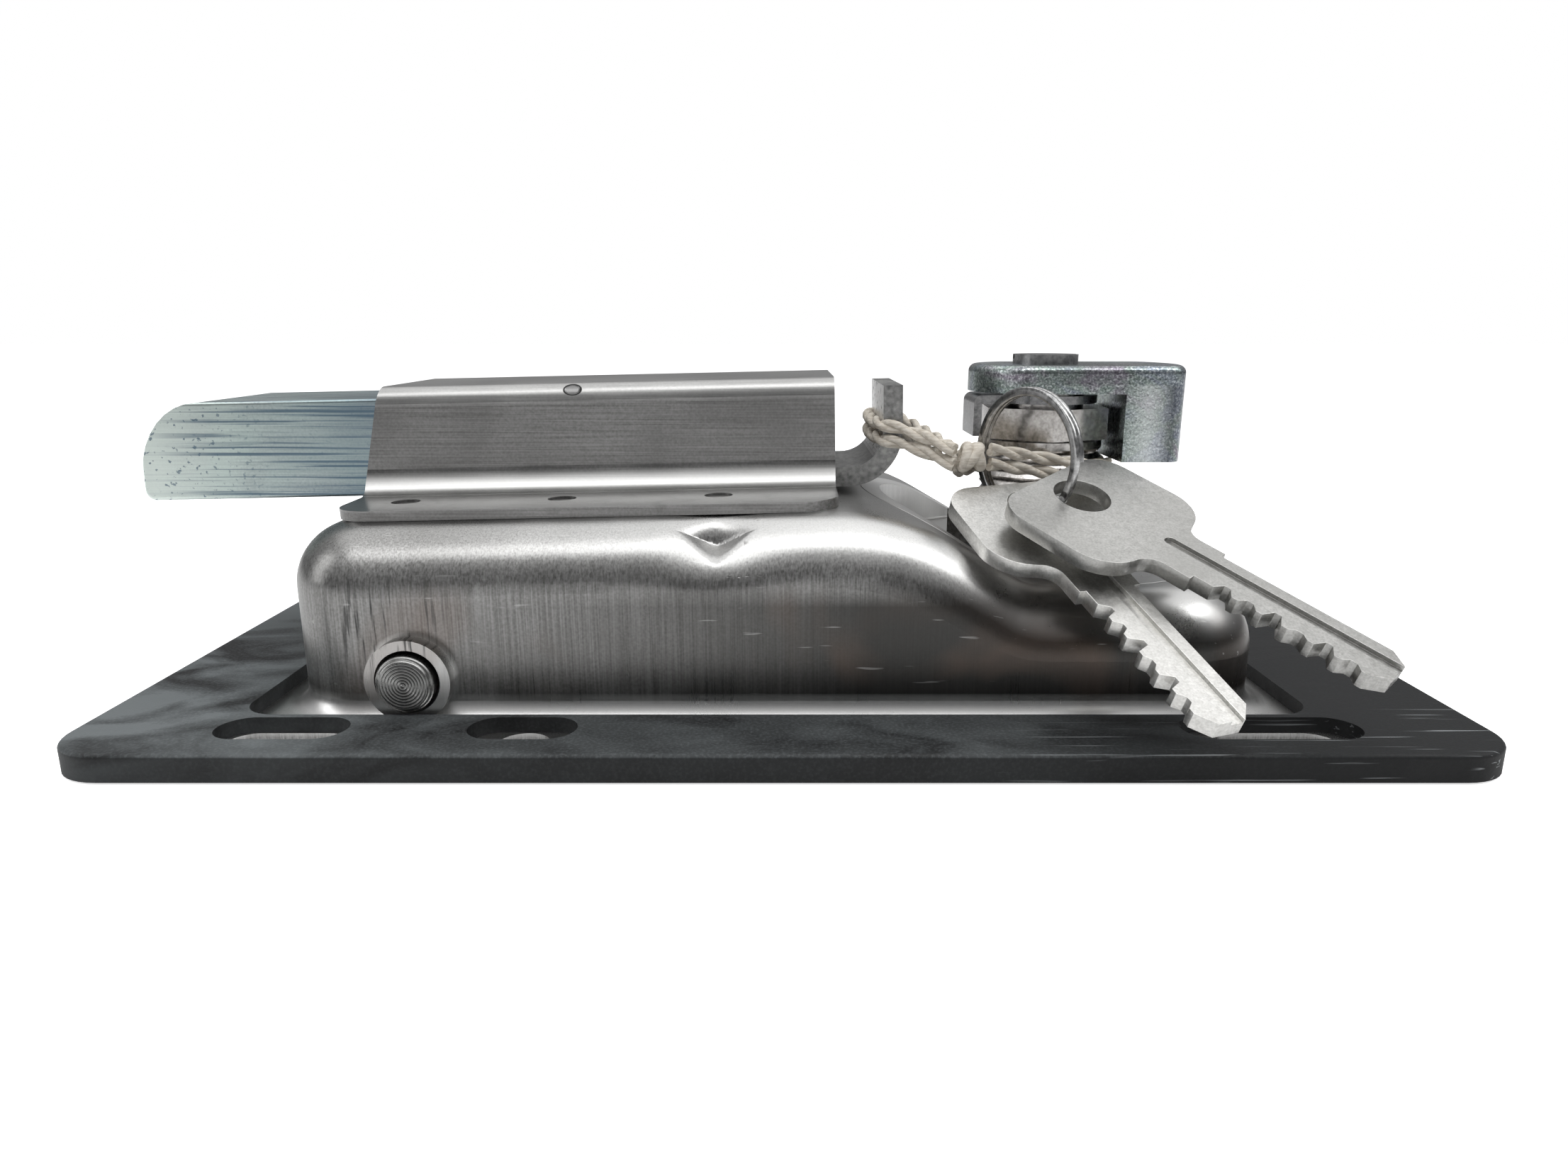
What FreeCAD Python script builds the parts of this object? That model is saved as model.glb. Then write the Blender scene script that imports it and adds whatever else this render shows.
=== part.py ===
import FreeCAD, Part
import Sketcher
import math
import os

Vector = FreeCAD.Vector

# Paddle latch, millimetres. Origin: centre of the flange's outer face, +Z into the panel.
# -X is the way the bolt projects. The latch lies face down, so Z = 0 is the outside of the door.
SIZES = [
    ("sheet_gauge", 1.5, "stainless sheet of the dish, paddle and channel"),
    ("flange_end", 18.8, "flange beyond the flare at the bolt end"),
    ("flange_side", 7.5, "flange beyond the rows of holes"),
    ("flange_corner", 6.5, "plan radius of the flange corners"),
    ("gasket_lip", 1.5, "rubber wall round the flange edge"),
    ("gasket_web", 2.2, "rubber over the flange"),
    ("gasket_edge", 0.6, "rounding of the gasket's upper edge"),
    ("gasket_open_corner", 5.0, "plan radius of the gasket's window"),
    ("window_gap", 1.5, "window edge beyond the dish flare at the ends"),
    ("window_side", 0.15, "window edge beyond the dish flare at the sides"),
    ("slot_inset", 26.0, "slot centres in from the flange ends"),
    ("hole_row_gap", 4.85, "rows of holes beyond the gasket's window"),
    ("slot_span", 16.0, "mounting slot, end to end"),
    ("slot_breadth", 7.0, "mounting slot width, for M6 screws"),
    ("middle_hole_inset", 31.75, "round hole in from the slot at the bolt end"),
    ("gasket_slot_breadth", 7.6, "rubber slot width"),
    ("gasket_slot_left", 17.5, "rubber slot length at the bolt end"),
    ("gasket_slot_mid", 14.5, "rubber slot length over the round hole"),
    ("gasket_slot_right", 23.8, "rubber slot length at the lock end"),
    ("gasket_slot_shift", 1.4, "long rubber slot nearer the middle than its slot"),
    ("dish_left", 70.2, "outer wall of the dish, bolt end"),
    ("dish_right", 68.7, "outer wall of the dish, lock end"),
    ("dish_half_width", 37.0, "outer wall of the dish, each side"),
    ("dish_corner", 12.0, "plan radius of the dish"),
    ("shoulder_round", 9.0, "rounding between wall and top"),
    ("base_flare", 3.0, "rounding where the wall leaves the flange"),
    ("plateau_height", 29.5, "high top of the dish at X = 0"),
    ("plateau_tilt", 1.25, "degrees, the high top and the bolt rise to the right"),
    ("slope_top", 16.6, "where the high top meets the slope line"),
    ("slope_foot", 35.0, "where the slope line meets the low top"),
    ("slope_top_round", 36.0, "crest of the slope"),
    ("slope_foot_round", 8.0, "foot of the slope"),
    ("low_step", 10.3, "low top, which carries the lock, under the high top"),
    ("seat_round", 26.5, "round seat pressed in around the lock"),
    ("lock_inset", 25.7, "lock axis in from the dish wall"),
    ("dent_x", -8.0, "stiffening dent on each shoulder"),
    ("dent_reach", 5.4, "dent ridge below the sharp shoulder corner"),
    ("dent_half", 9.0, "half width of the dent tool at its root"),
    ("dent_tool_half", 12.0, "half length of the dent tool"),
    ("lever_slot_back", 5.3, "slot in the high top starts this far before the pin"),
    ("lever_slot_length", 20.5, "slot in the high top, along X"),
    ("lever_slot_breadth", 12.0, "slot in the high top, along Y"),
    ("pin_inset", 19.0, "pivot pin in from the dish wall"),
    ("pin_height", 8.0, "pivot pin axis above the flange face"),
    ("pin_bore", 8.0, "pivot pin diameter"),
    ("pin_proud", 3.8, "pin end beyond the dish wall"),
    ("pin_chamfer", 0.7, "bevel on the pin ends"),
    ("collar_outside", 11.8, "drawn collar round the pin"),
    ("collar_proud", 2.2, "collar beyond the dish wall"),
    ("collar_mouth", 0.5, "bevel inside the collar's mouth"),
    ("running_fit", 0.06, "radial clearance on the pins and the plug"),
    ("channel_height", 18.0, "hat section over the bolt"),
    ("channel_half", 14.5, "hat section web, each side"),
    ("channel_foot", 28.5, "hat section foot, each side"),
    ("channel_inset", 7.6, "hat section starts in from the dish wall, at half height"),
    ("channel_slant", 2.0, "end slants by this each way"),
    ("channel_end", 8.3, "hat section, tail end"),
    ("channel_bend", 2.6, "outer bend radius of the hat section"),
    ("foot_corner", 6.0, "plan radius of the foot"),
    ("end_tab_gap", 5.6, "height of the tail opening under the end tab"),
    ("end_tab_half", 12.2, "end tab, each side"),
    ("weld_bore", 4.2, "spot weld dimple diameter"),
    ("weld_depth", 0.35, "spot weld dimple depth"),
    ("weld_inset", 6.6, "first spot weld from the hat section's end"),
    ("weld_pitch", 23.3, "spot weld spacing"),
    ("weld_row", 20.5, "spot welds from the middle"),
    ("bolt_half", 12.3, "bolt, half width"),
    ("bolt_lift", 1.2, "bolt above the high top"),
    ("bolt_depth", 15.0, "bolt height"),
    ("nose_reach", 29.6, "tip of the nose beyond the dish wall"),
    ("nose_run", 10.2, "nose rounding, along X"),
    ("nose_drop", 12.8, "nose rounding, downwards"),
    ("nose_lip", 1.6, "small radius under the nose"),
    ("bolt_block_back", 21.2, "back face of the bolt block behind the pin"),
    ("bolt_edge", 0.5, "edge rounding of the bolt"),
    ("lever_pocket", 7.4, "pocket for the lever, along X"),
    ("lever_pocket_depth", 6.2, "pocket for the lever, upwards"),
    ("tail_gauge", 3.0, "tail strip thickness"),
    ("tail_half", 11.0, "tail strip, half width"),
    ("tail_lift", 0.9, "tail strip above the high top"),
    ("tail_lap", 7.2, "tail strip starts behind the pin"),
    ("tail_end", 19.0, "back of the upright tab"),
    ("tail_top", 16.4, "top of the upright tab"),
    ("tail_bend", 8.5, "outer bend radius of the tail"),
    ("rivet_bore", 4.0, "tail rivets"),
    ("rivet_length", 9.0, "tail rivets"),
    ("rivet_back", 14.2, "tail rivets behind the pin"),
    ("rivet_spacing", 12.0, "tail rivets, across"),
    ("spring_wire", 1.4, "bolt spring wire"),
    ("spring_outside", 11.0, "bolt spring, outside diameter"),
    ("spring_turns", 9.0, "bolt spring coils"),
    ("spring_height", 10.2, "bolt spring axis above the high top"),
    ("spring_seat_gap", 0.05, "spring ends to their seats"),
    ("paddle_end_gap", 6.2, "paddle's end in from the dish wall"),
    ("paddle_right", 14.0, "paddle plate, pull end"),
    ("paddle_side_gap", 0.9, "paddle to the dish wall"),
    ("paddle_recess", 0.5, "paddle face behind the flange face"),
    ("paddle_skirt", 9.0, "top of the turned-up rim"),
    ("paddle_corner", 6.0, "plan radius of the paddle"),
    ("lug_length", 18.0, "pivot lugs along X"),
    ("lug_rise", 6.0, "pivot lugs above the pin axis"),
    ("lug_round", 4.4, "corner rounding of the lugs"),
    ("lever_half", 4.0, "lever thickness, half"),
    ("lever_tip_lift", 2.817, "lever tip centre above the high top"),
    ("lever_tip_round", 3.0, "lever tip radius"),
    ("lever_neck_half", 2.2, "lever under its tip, half"),
    ("lever_waist_half", 4.6, "lever over the hub, half"),
    ("lever_neck_length", 14.2, "lever's narrow part, from the tip centre down"),
    ("lever_foot_half", 8.5, "lever foot on the paddle, half"),
    ("barrel_bore", 19.5, "threaded lock barrel diameter"),
    ("barrel_rise", 18.0, "barrel above the low top"),
    ("barrel_fit", 0.1, "barrel to the sheet hole, radial"),
    ("thread_pitch", 1.5, "barrel thread"),
    ("thread_depth", 0.55, "barrel thread"),
    ("thread_rise", 7.8, "lowest thread groove seen, above the low top"),
    ("thread_count", 6, "thread grooves seen"),
    ("lock_head_bore", 27.0, "lock head diameter, outside of the door"),
    ("lock_head_depth", 2.8, "lock head thickness"),
    ("plug_bore", 13.0, "turning plug diameter"),
    ("keyway_length", 8.6, "key slot in the plug"),
    ("keyway_breadth", 2.6, "key slot in the plug"),
    ("keyway_depth", 24.0, "key slot in the plug"),
    ("wafer_gauge", 1.0, "wafer thickness"),
    ("wafer_pitch", 2.8, "wafer spacing"),
    ("wafer_lift", 0.8, "lowest wafer above the low top"),
    ("wafer_length", 10.6, "wafer across the plug"),
    ("wafer_breadth", 5.0, "wafer width"),
    ("wafer_fit", 0.05, "wafer to its slot"),
    ("washer_outside", 27.0, "lock washer"),
    ("washer_gauge", 1.0, "lock washer"),
    ("nut_wall", 3.25, "lock nut, flat to thread"),
    ("nut_height", 5.0, "lock nut"),
    ("hub_flats", 19.0, "hexagon under the cam"),
    ("hub_gap", 0.3, "hexagon above the barrel's end"),
    ("hub_height", 4.9, "hexagon height"),
    ("hub_turn", 4.0, "degrees, corner of the hexagon off the middle"),
    ("cam_rise", 7.7, "cam plate above the barrel's end"),
    ("cam_gauge", 4.3, "cam plate thickness"),
    ("cam_half", 11.0, "cam, half width"),
    ("cam_near", 12.3, "cam end behind the lock axis"),
    ("cam_reach", 21.7, "cam end beyond the lock axis"),
    ("cam_leg_start", 10.2, "inside face of the cam leg from the axis"),
    ("cam_leg_drop", 10.5, "cam leg's end below the cam plate"),
    ("cam_round", 3.0, "upright corner rounding of the cam"),
    ("cam_edge", 1.2, "edge rounding of the cam"),
    ("drive_square", 8.0, "square on the plug's end"),
    ("screw_head", 10.4, "cam screw head diameter"),
    ("screw_head_depth", 1.5, "cam screw head height"),
    ("screw_shank", 5.0, "cam screw thread diameter"),
    ("screw_length", 12.0, "cam screw below the head"),
    ("tab_washer_gauge", 1.3, "bent washer under the cam"),
    ("tab_washer_reach", 12.2, "outer face of its turned-down leg from the axis"),
    ("tab_washer_half", 5.0, "bent washer, half width of the leg"),
    ("tab_washer_drop", 7.0, "turned-down leg's end below the cam plate"),
    ("tab_washer_gap", 0.5, "bent washer below the cam plate"),
    ("tab_washer_round", 8.6, "round part of the bent washer"),
    ("key_gauge", 2.2, "key thickness"),
    ("bow_length", 20.2, "key bow along the key"),
    ("bow_breadth", 25.6, "key bow across the key"),
    ("bow_corner", 5.0, "key bow corner radius"),
    ("key_hole", 8.2, "hole in the bow"),
    ("key_hole_inset", 6.1, "hole centre from the bow's end"),
    ("key_upper_x", -0.34, "upper key's hole from the lock axis"),
    ("key_upper_y", -26.49, "upper key's hole from the lock axis"),
    ("key_upper_z", 11.55, "upper key's hole above the low top"),
    ("key_lower_x", -5.9, "lower key's hole from the lock axis"),
    ("key_lower_y", -22.13, "lower key's hole from the lock axis"),
    ("key_lower_z", 9.39, "lower key's hole above the low top"),
    ("blade_length", 31.4, "key blade"),
    ("blade_breadth", 7.6, "key blade"),
    ("shoulder_length", 6.0, "wide part of the blade by the bow"),
    ("shoulder_breadth", 9.6, "wide part of the blade by the bow"),
    ("notch_pitch", 3.4, "key cuts"),
    ("notch_depth", 1.9, "key cuts"),
    ("milling_breadth", 1.8, "groove along the blade"),
    ("milling_depth", 0.6, "groove along the blade"),
    ("ring_outside", 20.2, "split ring"),
    ("ring_wire", 1.6, "split ring, width of the two coils"),
    ("ring_foot_x", -6.33, "lowest point of the ring's line from the lock axis"),
    ("ring_foot_y", -21.38, "lowest point of the ring's line from the lock axis"),
    ("ring_foot_z", 8.25, "lowest point of the ring's line above the low top"),
    ("cord_gauge", 2.0, "tying twine"),
    ("cord_clear", 0.12, "twine to what it goes round"),
    ("knot_x", -14.4, "knot from the lock axis"),
    ("knot_y", -16.8, "knot from the lock axis"),
    ("knot_z", 16.8, "knot above the low top"),
    ("turn_upper", 13.95, "upper turn round the barrel, above the low top"),
    ("turn_lower", 11.8, "lower turn round the barrel, above the low top"),
    ("tie_rise", 10.9, "upper strand round the tail tab, above the high top"),
]


class Dim:
    """One size: its value now and the expression that ties it to the sheet."""

    def __init__(self, value, text):
        self.value = float(value)
        self.text = text

    @staticmethod
    def of(other):
        if isinstance(other, Dim):
            return other
        return Dim(other, repr(float(other)))

    def __add__(self, other):
        other = Dim.of(other)
        return Dim(self.value + other.value, f"({self.text} + {other.text})")

    def __radd__(self, other):
        return Dim.of(other) + self

    def __sub__(self, other):
        other = Dim.of(other)
        return Dim(self.value - other.value, f"({self.text} - {other.text})")

    def __rsub__(self, other):
        return Dim.of(other) - self

    def __mul__(self, other):
        other = Dim.of(other)
        return Dim(self.value * other.value, f"({self.text} * {other.text})")

    def __rmul__(self, other):
        return Dim.of(other) * self

    def __truediv__(self, other):
        other = Dim.of(other)
        return Dim(self.value / other.value, f"({self.text} / {other.text})")

    def __neg__(self):
        return Dim(-self.value, f"(0 - {self.text})")


def tan_of(angle):
    """Tangent of an angle in degrees."""
    return Dim(math.tan(math.radians(angle.value)), f"tan({angle.text} * 1 deg)")


doc = FreeCAD.newDocument("PaddleLatch")
sheet = doc.addObject("Spreadsheet::Sheet", "Sizes")
D = {}
for row, (alias, value, meaning) in enumerate(SIZES, start=1):
    sheet.set(f"A{row}", alias)
    sheet.set(f"B{row}", str(value))
    sheet.set(f"C{row}", meaning)
    sheet.setAlias(f"B{row}", alias)
    D[alias] = Dim(value, f"Sizes.{alias}")
doc.recompute()

ZERO = Dim(0, "0")
subparts = []


def tie(thing, prop, dim):
    """Bind one property to the sheet."""
    thing.setExpression(prop, dim.text)


def new_body(name):
    body = doc.addObject("PartDesign::Body", name)
    body.Label = name
    return body


def keep(thing):
    """List a finished sub-part under its own label."""
    subparts.append(thing)
    return thing


def plane_of(body, role):
    return next(f for f in body.Origin.OriginFeatures if f.Role == role)


def new_sketch(body, name, role, offset=None):
    sketch = body.newObject("Sketcher::SketchObject", name)
    sketch.AttachmentSupport = [(plane_of(body, role), "")]
    sketch.MapMode = "FlatFace"
    if offset is not None:
        tie(sketch, "AttachmentOffset.Base.z", offset)
    return sketch


def pin_point(sketch, geo, end, x, y):
    """Hold one point of a sketch at sheet-driven coordinates."""
    for kind, dim in (("DistanceX", x), ("DistanceY", y)):
        number = sketch.addConstraint(Sketcher.Constraint(kind, -1, 1, geo, end, dim.value))
        sketch.setExpression(f"Constraints[{number}]", dim.text)


def hold_radius(sketch, geo, radius):
    number = sketch.addConstraint(Sketcher.Constraint("Radius", geo, radius.value))
    sketch.setExpression(f"Constraints[{number}]", radius.text)


def outline(sketch, corners):
    """Closed polygon through sheet-driven corners."""
    first = sketch.GeometryCount
    total = len(corners)
    points = [(Dim.of(x), Dim.of(y)) for x, y in corners]
    for i in range(total):
        ax, ay = points[i]
        bx, by = points[(i + 1) % total]
        start = Vector(ax.value, ay.value, 0)
        sketch.addGeometry(Part.LineSegment(start, Vector(bx.value, by.value, 0)))
    for i in range(total):
        follower = first + (i + 1) % total
        sketch.addConstraint(Sketcher.Constraint("Coincident", first + i, 2, follower, 1))
        pin_point(sketch, first + i, 1, *points[i])
    return sketch


def box_outline(sketch, x0, x1, y0, y1):
    return outline(sketch, [(x0, y0), (x1, y0), (x1, y1), (x0, y1)])


def ring_outline(sketch, x, y, radius):
    x, y, radius = Dim.of(x), Dim.of(y), Dim.of(radius)
    circle = Part.Circle(Vector(x.value, y.value, 0), Vector(0, 0, 1), radius.value)
    geo = sketch.addGeometry(circle)
    hold_radius(sketch, geo, radius)
    pin_point(sketch, geo, 3, x, y)
    return sketch


def slot_outline(sketch, x, y, span, breadth):
    """Slot along the sketch's X with round ends."""
    x, y, span, breadth = Dim.of(x), Dim.of(y), Dim.of(span), Dim.of(breadth)
    radius = breadth / 2
    half = (span - breadth) / 2
    left = Vector(x.value - half.value, y.value, 0)
    right = Vector(x.value + half.value, y.value, 0)
    up = Vector(0, radius.value, 0)
    axis = Vector(0, 0, 1)
    quarter = math.pi / 2
    a = sketch.addGeometry(Part.ArcOfCircle(Part.Circle(left, axis, radius.value), quarter, 3 * quarter))
    b = sketch.addGeometry(Part.ArcOfCircle(Part.Circle(right, axis, radius.value), -quarter, quarter))
    low = sketch.addGeometry(Part.LineSegment(left - up, right - up))
    high = sketch.addGeometry(Part.LineSegment(right + up, left + up))
    for one, one_end, two, two_end in ((a, 2, low, 1), (low, 2, b, 1), (b, 2, high, 1), (high, 2, a, 1)):
        sketch.addConstraint(Sketcher.Constraint("Tangent", one, one_end, two, two_end))
    sketch.addConstraint(Sketcher.Constraint("Equal", a, b))
    pin_point(sketch, a, 3, x - half, y)
    pin_point(sketch, b, 3, x + half, y)
    hold_radius(sketch, a, radius)
    return sketch


def grow(body, kind, name, sketch, length, symmetric=False, flip=False):
    """Pad or pocket a sketch by a sheet-driven length."""
    feature = body.newObject(f"PartDesign::{kind}", name)
    feature.Profile = sketch
    feature.Type = "Length"
    tie(feature, "Length", Dim.of(length))
    feature.Length = Dim.of(length).value
    feature.SideType = "Symmetric" if symmetric else "One side"
    feature.Reversed = flip
    sketch.Visibility = False
    doc.recompute()
    return feature


def pad(body, name, sketch, length, **how):
    return grow(body, "Pad", name, sketch, length, **how)


def pocket(body, name, sketch, length, **how):
    return grow(body, "Pocket", name, sketch, length, **how)


def turn(body, name, sketch, axis_role):
    feature = body.newObject("PartDesign::Revolution", name)
    feature.Profile = sketch
    axis = next(f for f in body.Origin.OriginFeatures if f.Role == axis_role)
    feature.ReferenceAxis = (axis, [""])
    feature.Angle = 360
    doc.recompute()
    return feature


def edges_by(shape, test):
    return [f"Edge{i}" for i, edge in enumerate(shape.Edges, start=1) if test(edge)]


def edges_near(shape, points, reach=0.02):
    """Edges that pass through any of the given points."""
    spots = [Part.Vertex(Vector(*(Dim.of(c).value for c in p))) for p in points]
    return edges_by(shape, lambda e: any(e.distToShape(s)[0] < reach for s in spots))


def dress(body, kind, name, size, names, second=None):
    """Fillet or chamfer named edges of the body's newest feature."""
    if not names:
        raise ValueError(f"{name}: no edges found")
    base = body.Tip
    feature = body.newObject(f"PartDesign::{kind}", name)
    feature.Base = (base, names)
    prop = "Radius" if kind == "Fillet" else "Size"
    tie(feature, prop, Dim.of(size))
    setattr(feature, prop, Dim.of(size).value)
    if second is not None:
        feature.ChamferType = "Two distances"
        tie(feature, "Size2", Dim.of(second))
    doc.recompute()
    return feature


def round_near(body, name, radius, points):
    return dress(body, "Fillet", name, radius, edges_near(body.Tip.Shape, points))


def mid_point(edge):
    return edge.valueAt((edge.FirstParameter + edge.LastParameter) / 2)


def cylinder(name, radius, length, place, axis=(0, 0, 1)):
    """Part cylinder with sheet-driven radius, length and base point."""
    thing = doc.addObject("Part::Cylinder", name)
    tie(thing, "Radius", Dim.of(radius))
    tie(thing, "Height", Dim.of(length))
    thing.Placement = FreeCAD.Placement(
        Vector(*(Dim.of(c).value for c in place)), FreeCAD.Rotation(Vector(0, 0, 1), Vector(*axis))
    )
    for letter, coordinate in zip("xyz", place):
        tie(thing, f"Placement.Base.{letter}", Dim.of(coordinate))
    return thing


def block(name, size, place):
    """Part box with sheet-driven size and low corner."""
    thing = doc.addObject("Part::Box", name)
    for prop, dim in zip(("Length", "Width", "Height"), size):
        tie(thing, prop, Dim.of(dim))
    for letter, coordinate in zip("xyz", place):
        tie(thing, f"Placement.Base.{letter}", Dim.of(coordinate))
    return thing


def joined(name, shapes):
    thing = doc.addObject("Part::MultiFuse", name)
    thing.Shapes = shapes
    return thing


def minus(name, base, tool):
    thing = doc.addObject("Part::Cut", name)
    thing.Base = base
    thing.Tool = tool
    return thing


def on_slide(body):
    """Put a body on the bolt's sloping run: its local Z = 0 is the high top."""
    axis = Vector(0, 1, 0)
    body.Placement = FreeCAD.Placement(
        Vector(0, 0, D["plateau_height"].value), FreeCAD.Rotation(axis, -D["plateau_tilt"].value)
    )
    tie(body, "Placement.Base.z", D["plateau_height"])
    return body


# values used by several pieces
gauge = D["sheet_gauge"]
lock_x = D["dish_right"] - D["lock_inset"]
lean = tan_of(D["plateau_tilt"])
window_half = D["dish_half_width"] + D["base_flare"] + D["window_side"]
flange_half_x = D["dish_left"] + D["base_flare"] + D["flange_end"]
slot_x = flange_half_x - D["slot_inset"]
slot_y = window_half + D["hole_row_gap"]
flange_half_y = slot_y + D["flange_side"]
middle_hole_x = -(slot_x - D["middle_hole_inset"])
pin_x = -(D["dish_left"] - D["pin_inset"])
bolt_back = pin_x + D["bolt_block_back"]
tail_start = pin_x + D["tail_lap"]
rivet_x = pin_x + D["rivet_back"]
channel_start = -(D["dish_left"] - D["channel_inset"])
low_top = D["plateau_height"] - D["low_step"]
barrel_top = low_top + D["barrel_rise"]
cam_base = barrel_top + D["cam_rise"]
cam_leg_base = cam_base - D["cam_leg_drop"]
tab_washer_base = cam_base - D["tab_washer_drop"]
pin_radius = D["pin_bore"] / 2
bolt_top = D["bolt_lift"] + D["bolt_depth"]
inner_roof = D["channel_height"] - gauge
tail_roof = D["tail_lift"] + D["tail_gauge"]
tab_inside = D["channel_end"] - gauge


def top_line(x):
    """Height of the sloping high top at x."""
    return D["plateau_height"] + Dim.of(x) * lean


# dish
def dish_form(name, inset, base_thickness, flare, flip):
    """Solid form of the dish: inset 0 is the outside, inset = gauge is the hollow."""
    body = new_body(name)
    fall = Dim(0.268, "0.268")
    left = -(D["dish_left"] - inset)
    right = D["dish_right"] - inset
    half = D["dish_half_width"] - inset
    crest_x = D["slope_top"] - inset * fall
    foot_x = D["slope_foot"] - inset * fall
    low = low_top - inset
    side = new_sketch(body, f"{name}Side", "XZ_Plane")
    outline(side, [(left, ZERO), (left, top_line(left) - inset), (crest_x, top_line(crest_x) - inset),
                   (foot_x, low), (right, low), (right, ZERO)])
    pad(body, f"{name}Block", side, half * 2, symmetric=True)
    round_near(body, f"{name}Crest", D["slope_top_round"] - inset, [(crest_x, 0, top_line(crest_x) - inset)])
    round_near(body, f"{name}Foot", D["slope_foot_round"] + inset, [(foot_x, 0, low)])
    corner = D["dish_corner"] - inset
    ends = [(x, y, low / 2) for x in (left, right) for y in (half, -half)]
    round_near(body, f"{name}Corners", corner, ends)

    def on_rim(edge):
        middle = mid_point(edge)
        if middle.z < low.value - 0.5:
            return False
        if abs(abs(middle.y) - half.value) < 0.01:
            return True
        if min(abs(middle.x - left.value), abs(middle.x - right.value)) < 0.01:
            return abs(middle.y) < half.value
        near_end = middle.x < left.value + corner.value or middle.x > right.value - corner.value
        return near_end and abs(middle.y) > half.value - corner.value

    names = edges_by(body.Tip.Shape, on_rim)
    dress(body, "Fillet", f"{name}Shoulder", D["shoulder_round"] - inset, names)
    seat = new_sketch(body, f"{name}SeatOutline", "XY_Plane", low)
    ring_outline(seat, lock_x, ZERO, D["seat_round"] + inset)
    pocket(body, f"{name}Seat", seat, D["plateau_height"], flip=True)
    plate = new_sketch(body, f"{name}PlateOutline", "XY_Plane")
    box_outline(plate, -flange_half_x, flange_half_x, -flange_half_y, flange_half_y)
    pad(body, f"{name}Plate", plate, base_thickness, flip=flip)
    level = ZERO if flip else base_thickness

    def at_wall_foot(edge):
        middle = mid_point(edge)
        inside = abs(middle.x) < flange_half_x.value - 1 and abs(middle.y) < flange_half_y.value - 1
        return inside and all(abs(v.Z - level.value) < 0.01 for v in edge.Vertexes)

    dress(body, "Fillet", f"{name}Flare", flare, edges_by(body.Tip.Shape, at_wall_foot))
    return body


outer = dish_form("DishOutside", ZERO, gauge, D["base_flare"], False)
flange_corners = [(x, y, gauge / 2) for x in (-flange_half_x, flange_half_x)
                  for y in (-flange_half_y, flange_half_y)]
round_near(outer, "FlangeCorners", D["flange_corner"], flange_corners)
mounting = new_sketch(outer, "MountingOutline", "XY_Plane")
for sx in (-slot_x, slot_x):
    for sy in (-slot_y, slot_y):
        slot_outline(mounting, sx, sy, D["slot_span"], D["slot_breadth"])
for sy in (-slot_y, slot_y):
    ring_outline(mounting, middle_hole_x, sy, D["slot_breadth"] / 2)
pocket(outer, "MountingHoles", mounting, gauge, flip=True)
hollow = dish_form("DishHollow", gauge, gauge * 2, D["base_flare"] + gauge, True)


def dent(name, side, deeper):
    """Wedge that presses the stiffening dent into one shoulder."""
    wedge = doc.addObject("Part::Wedge", name)
    reach = D["dent_reach"] + deeper
    scale = reach / D["dent_reach"]
    tie(wedge, "Xmin", -(D["dent_half"] * scale))
    tie(wedge, "Xmax", D["dent_half"] * scale)
    tie(wedge, "Ymax", reach)
    for prop in ("Ymin", "X2min", "X2max"):
        setattr(wedge, prop, 0)
    for prop in ("Zmin", "Z2min"):
        tie(wedge, prop, -D["dent_tool_half"])
    for prop in ("Zmax", "Z2max"):
        tie(wedge, prop, D["dent_tool_half"])
    angle = -45 if side < 0 else -135
    wedge.Placement = FreeCAD.Placement(Vector(0, 0, 0), FreeCAD.Rotation(Vector(1, 0, 0), angle))
    tie(wedge, "Placement.Base.x", D["dent_x"])
    tie(wedge, "Placement.Base.y", D["dish_half_width"] * side)
    tie(wedge, "Placement.Base.z", top_line(D["dent_x"]))
    return wedge


dent_offset = gauge * Dim(1.17, "1.17")
outer_dented = minus("DishOutsideDented", outer,
                     joined("OuterDents", [dent("DentNear", -1, ZERO), dent("DentFar", 1, ZERO)]))
hollow_dented = minus("DishHollowDented", hollow,
                      joined("InnerDents", [dent("DentNearInside", -1, dent_offset),
                                            dent("DentFarInside", 1, dent_offset)]))
shell = minus("DishShell", outer_dented, hollow_dented)
wall = D["dish_half_width"]
collar_length = D["collar_proud"] + gauge / 2
collars = []
for side, label in ((-1, "Near"), (1, "Far")):
    start = wall * side - gauge / 2 * side
    collars.append(cylinder(f"Collar{label}", D["collar_outside"] / 2, collar_length,
                            (pin_x, start, D["pin_height"]), (0, side, 0)))
drawn = joined("DishDrawn", [shell] + collars)
mouths = []
for side, label in ((-1, "Near"), (1, "Far")):
    mouth = doc.addObject("Part::Cone", f"CollarMouth{label}")
    tie(mouth, "Radius1", pin_radius)
    tie(mouth, "Radius2", pin_radius + D["collar_mouth"])
    tie(mouth, "Height", D["collar_mouth"] * 2)
    mouth.Placement = FreeCAD.Placement(Vector(0, 0, 0), FreeCAD.Rotation(Vector(0, 0, 1), Vector(0, side, 0)))
    tie(mouth, "Placement.Base.x", pin_x)
    tie(mouth, "Placement.Base.y", (wall + D["collar_proud"] - D["collar_mouth"] * 2) * side)
    tie(mouth, "Placement.Base.z", D["pin_height"])
    mouths.append(mouth)
pin_hole = cylinder("PinHole", pin_radius, wall * 4, (pin_x, -(wall * 2), D["pin_height"]), (0, 1, 0))
lever_slot = block("LeverSlot", (D["lever_slot_length"], D["lever_slot_breadth"], gauge * 8),
                   (pin_x - D["lever_slot_back"], -(D["lever_slot_breadth"] / 2), D["plateau_height"] - gauge * 4))
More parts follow.
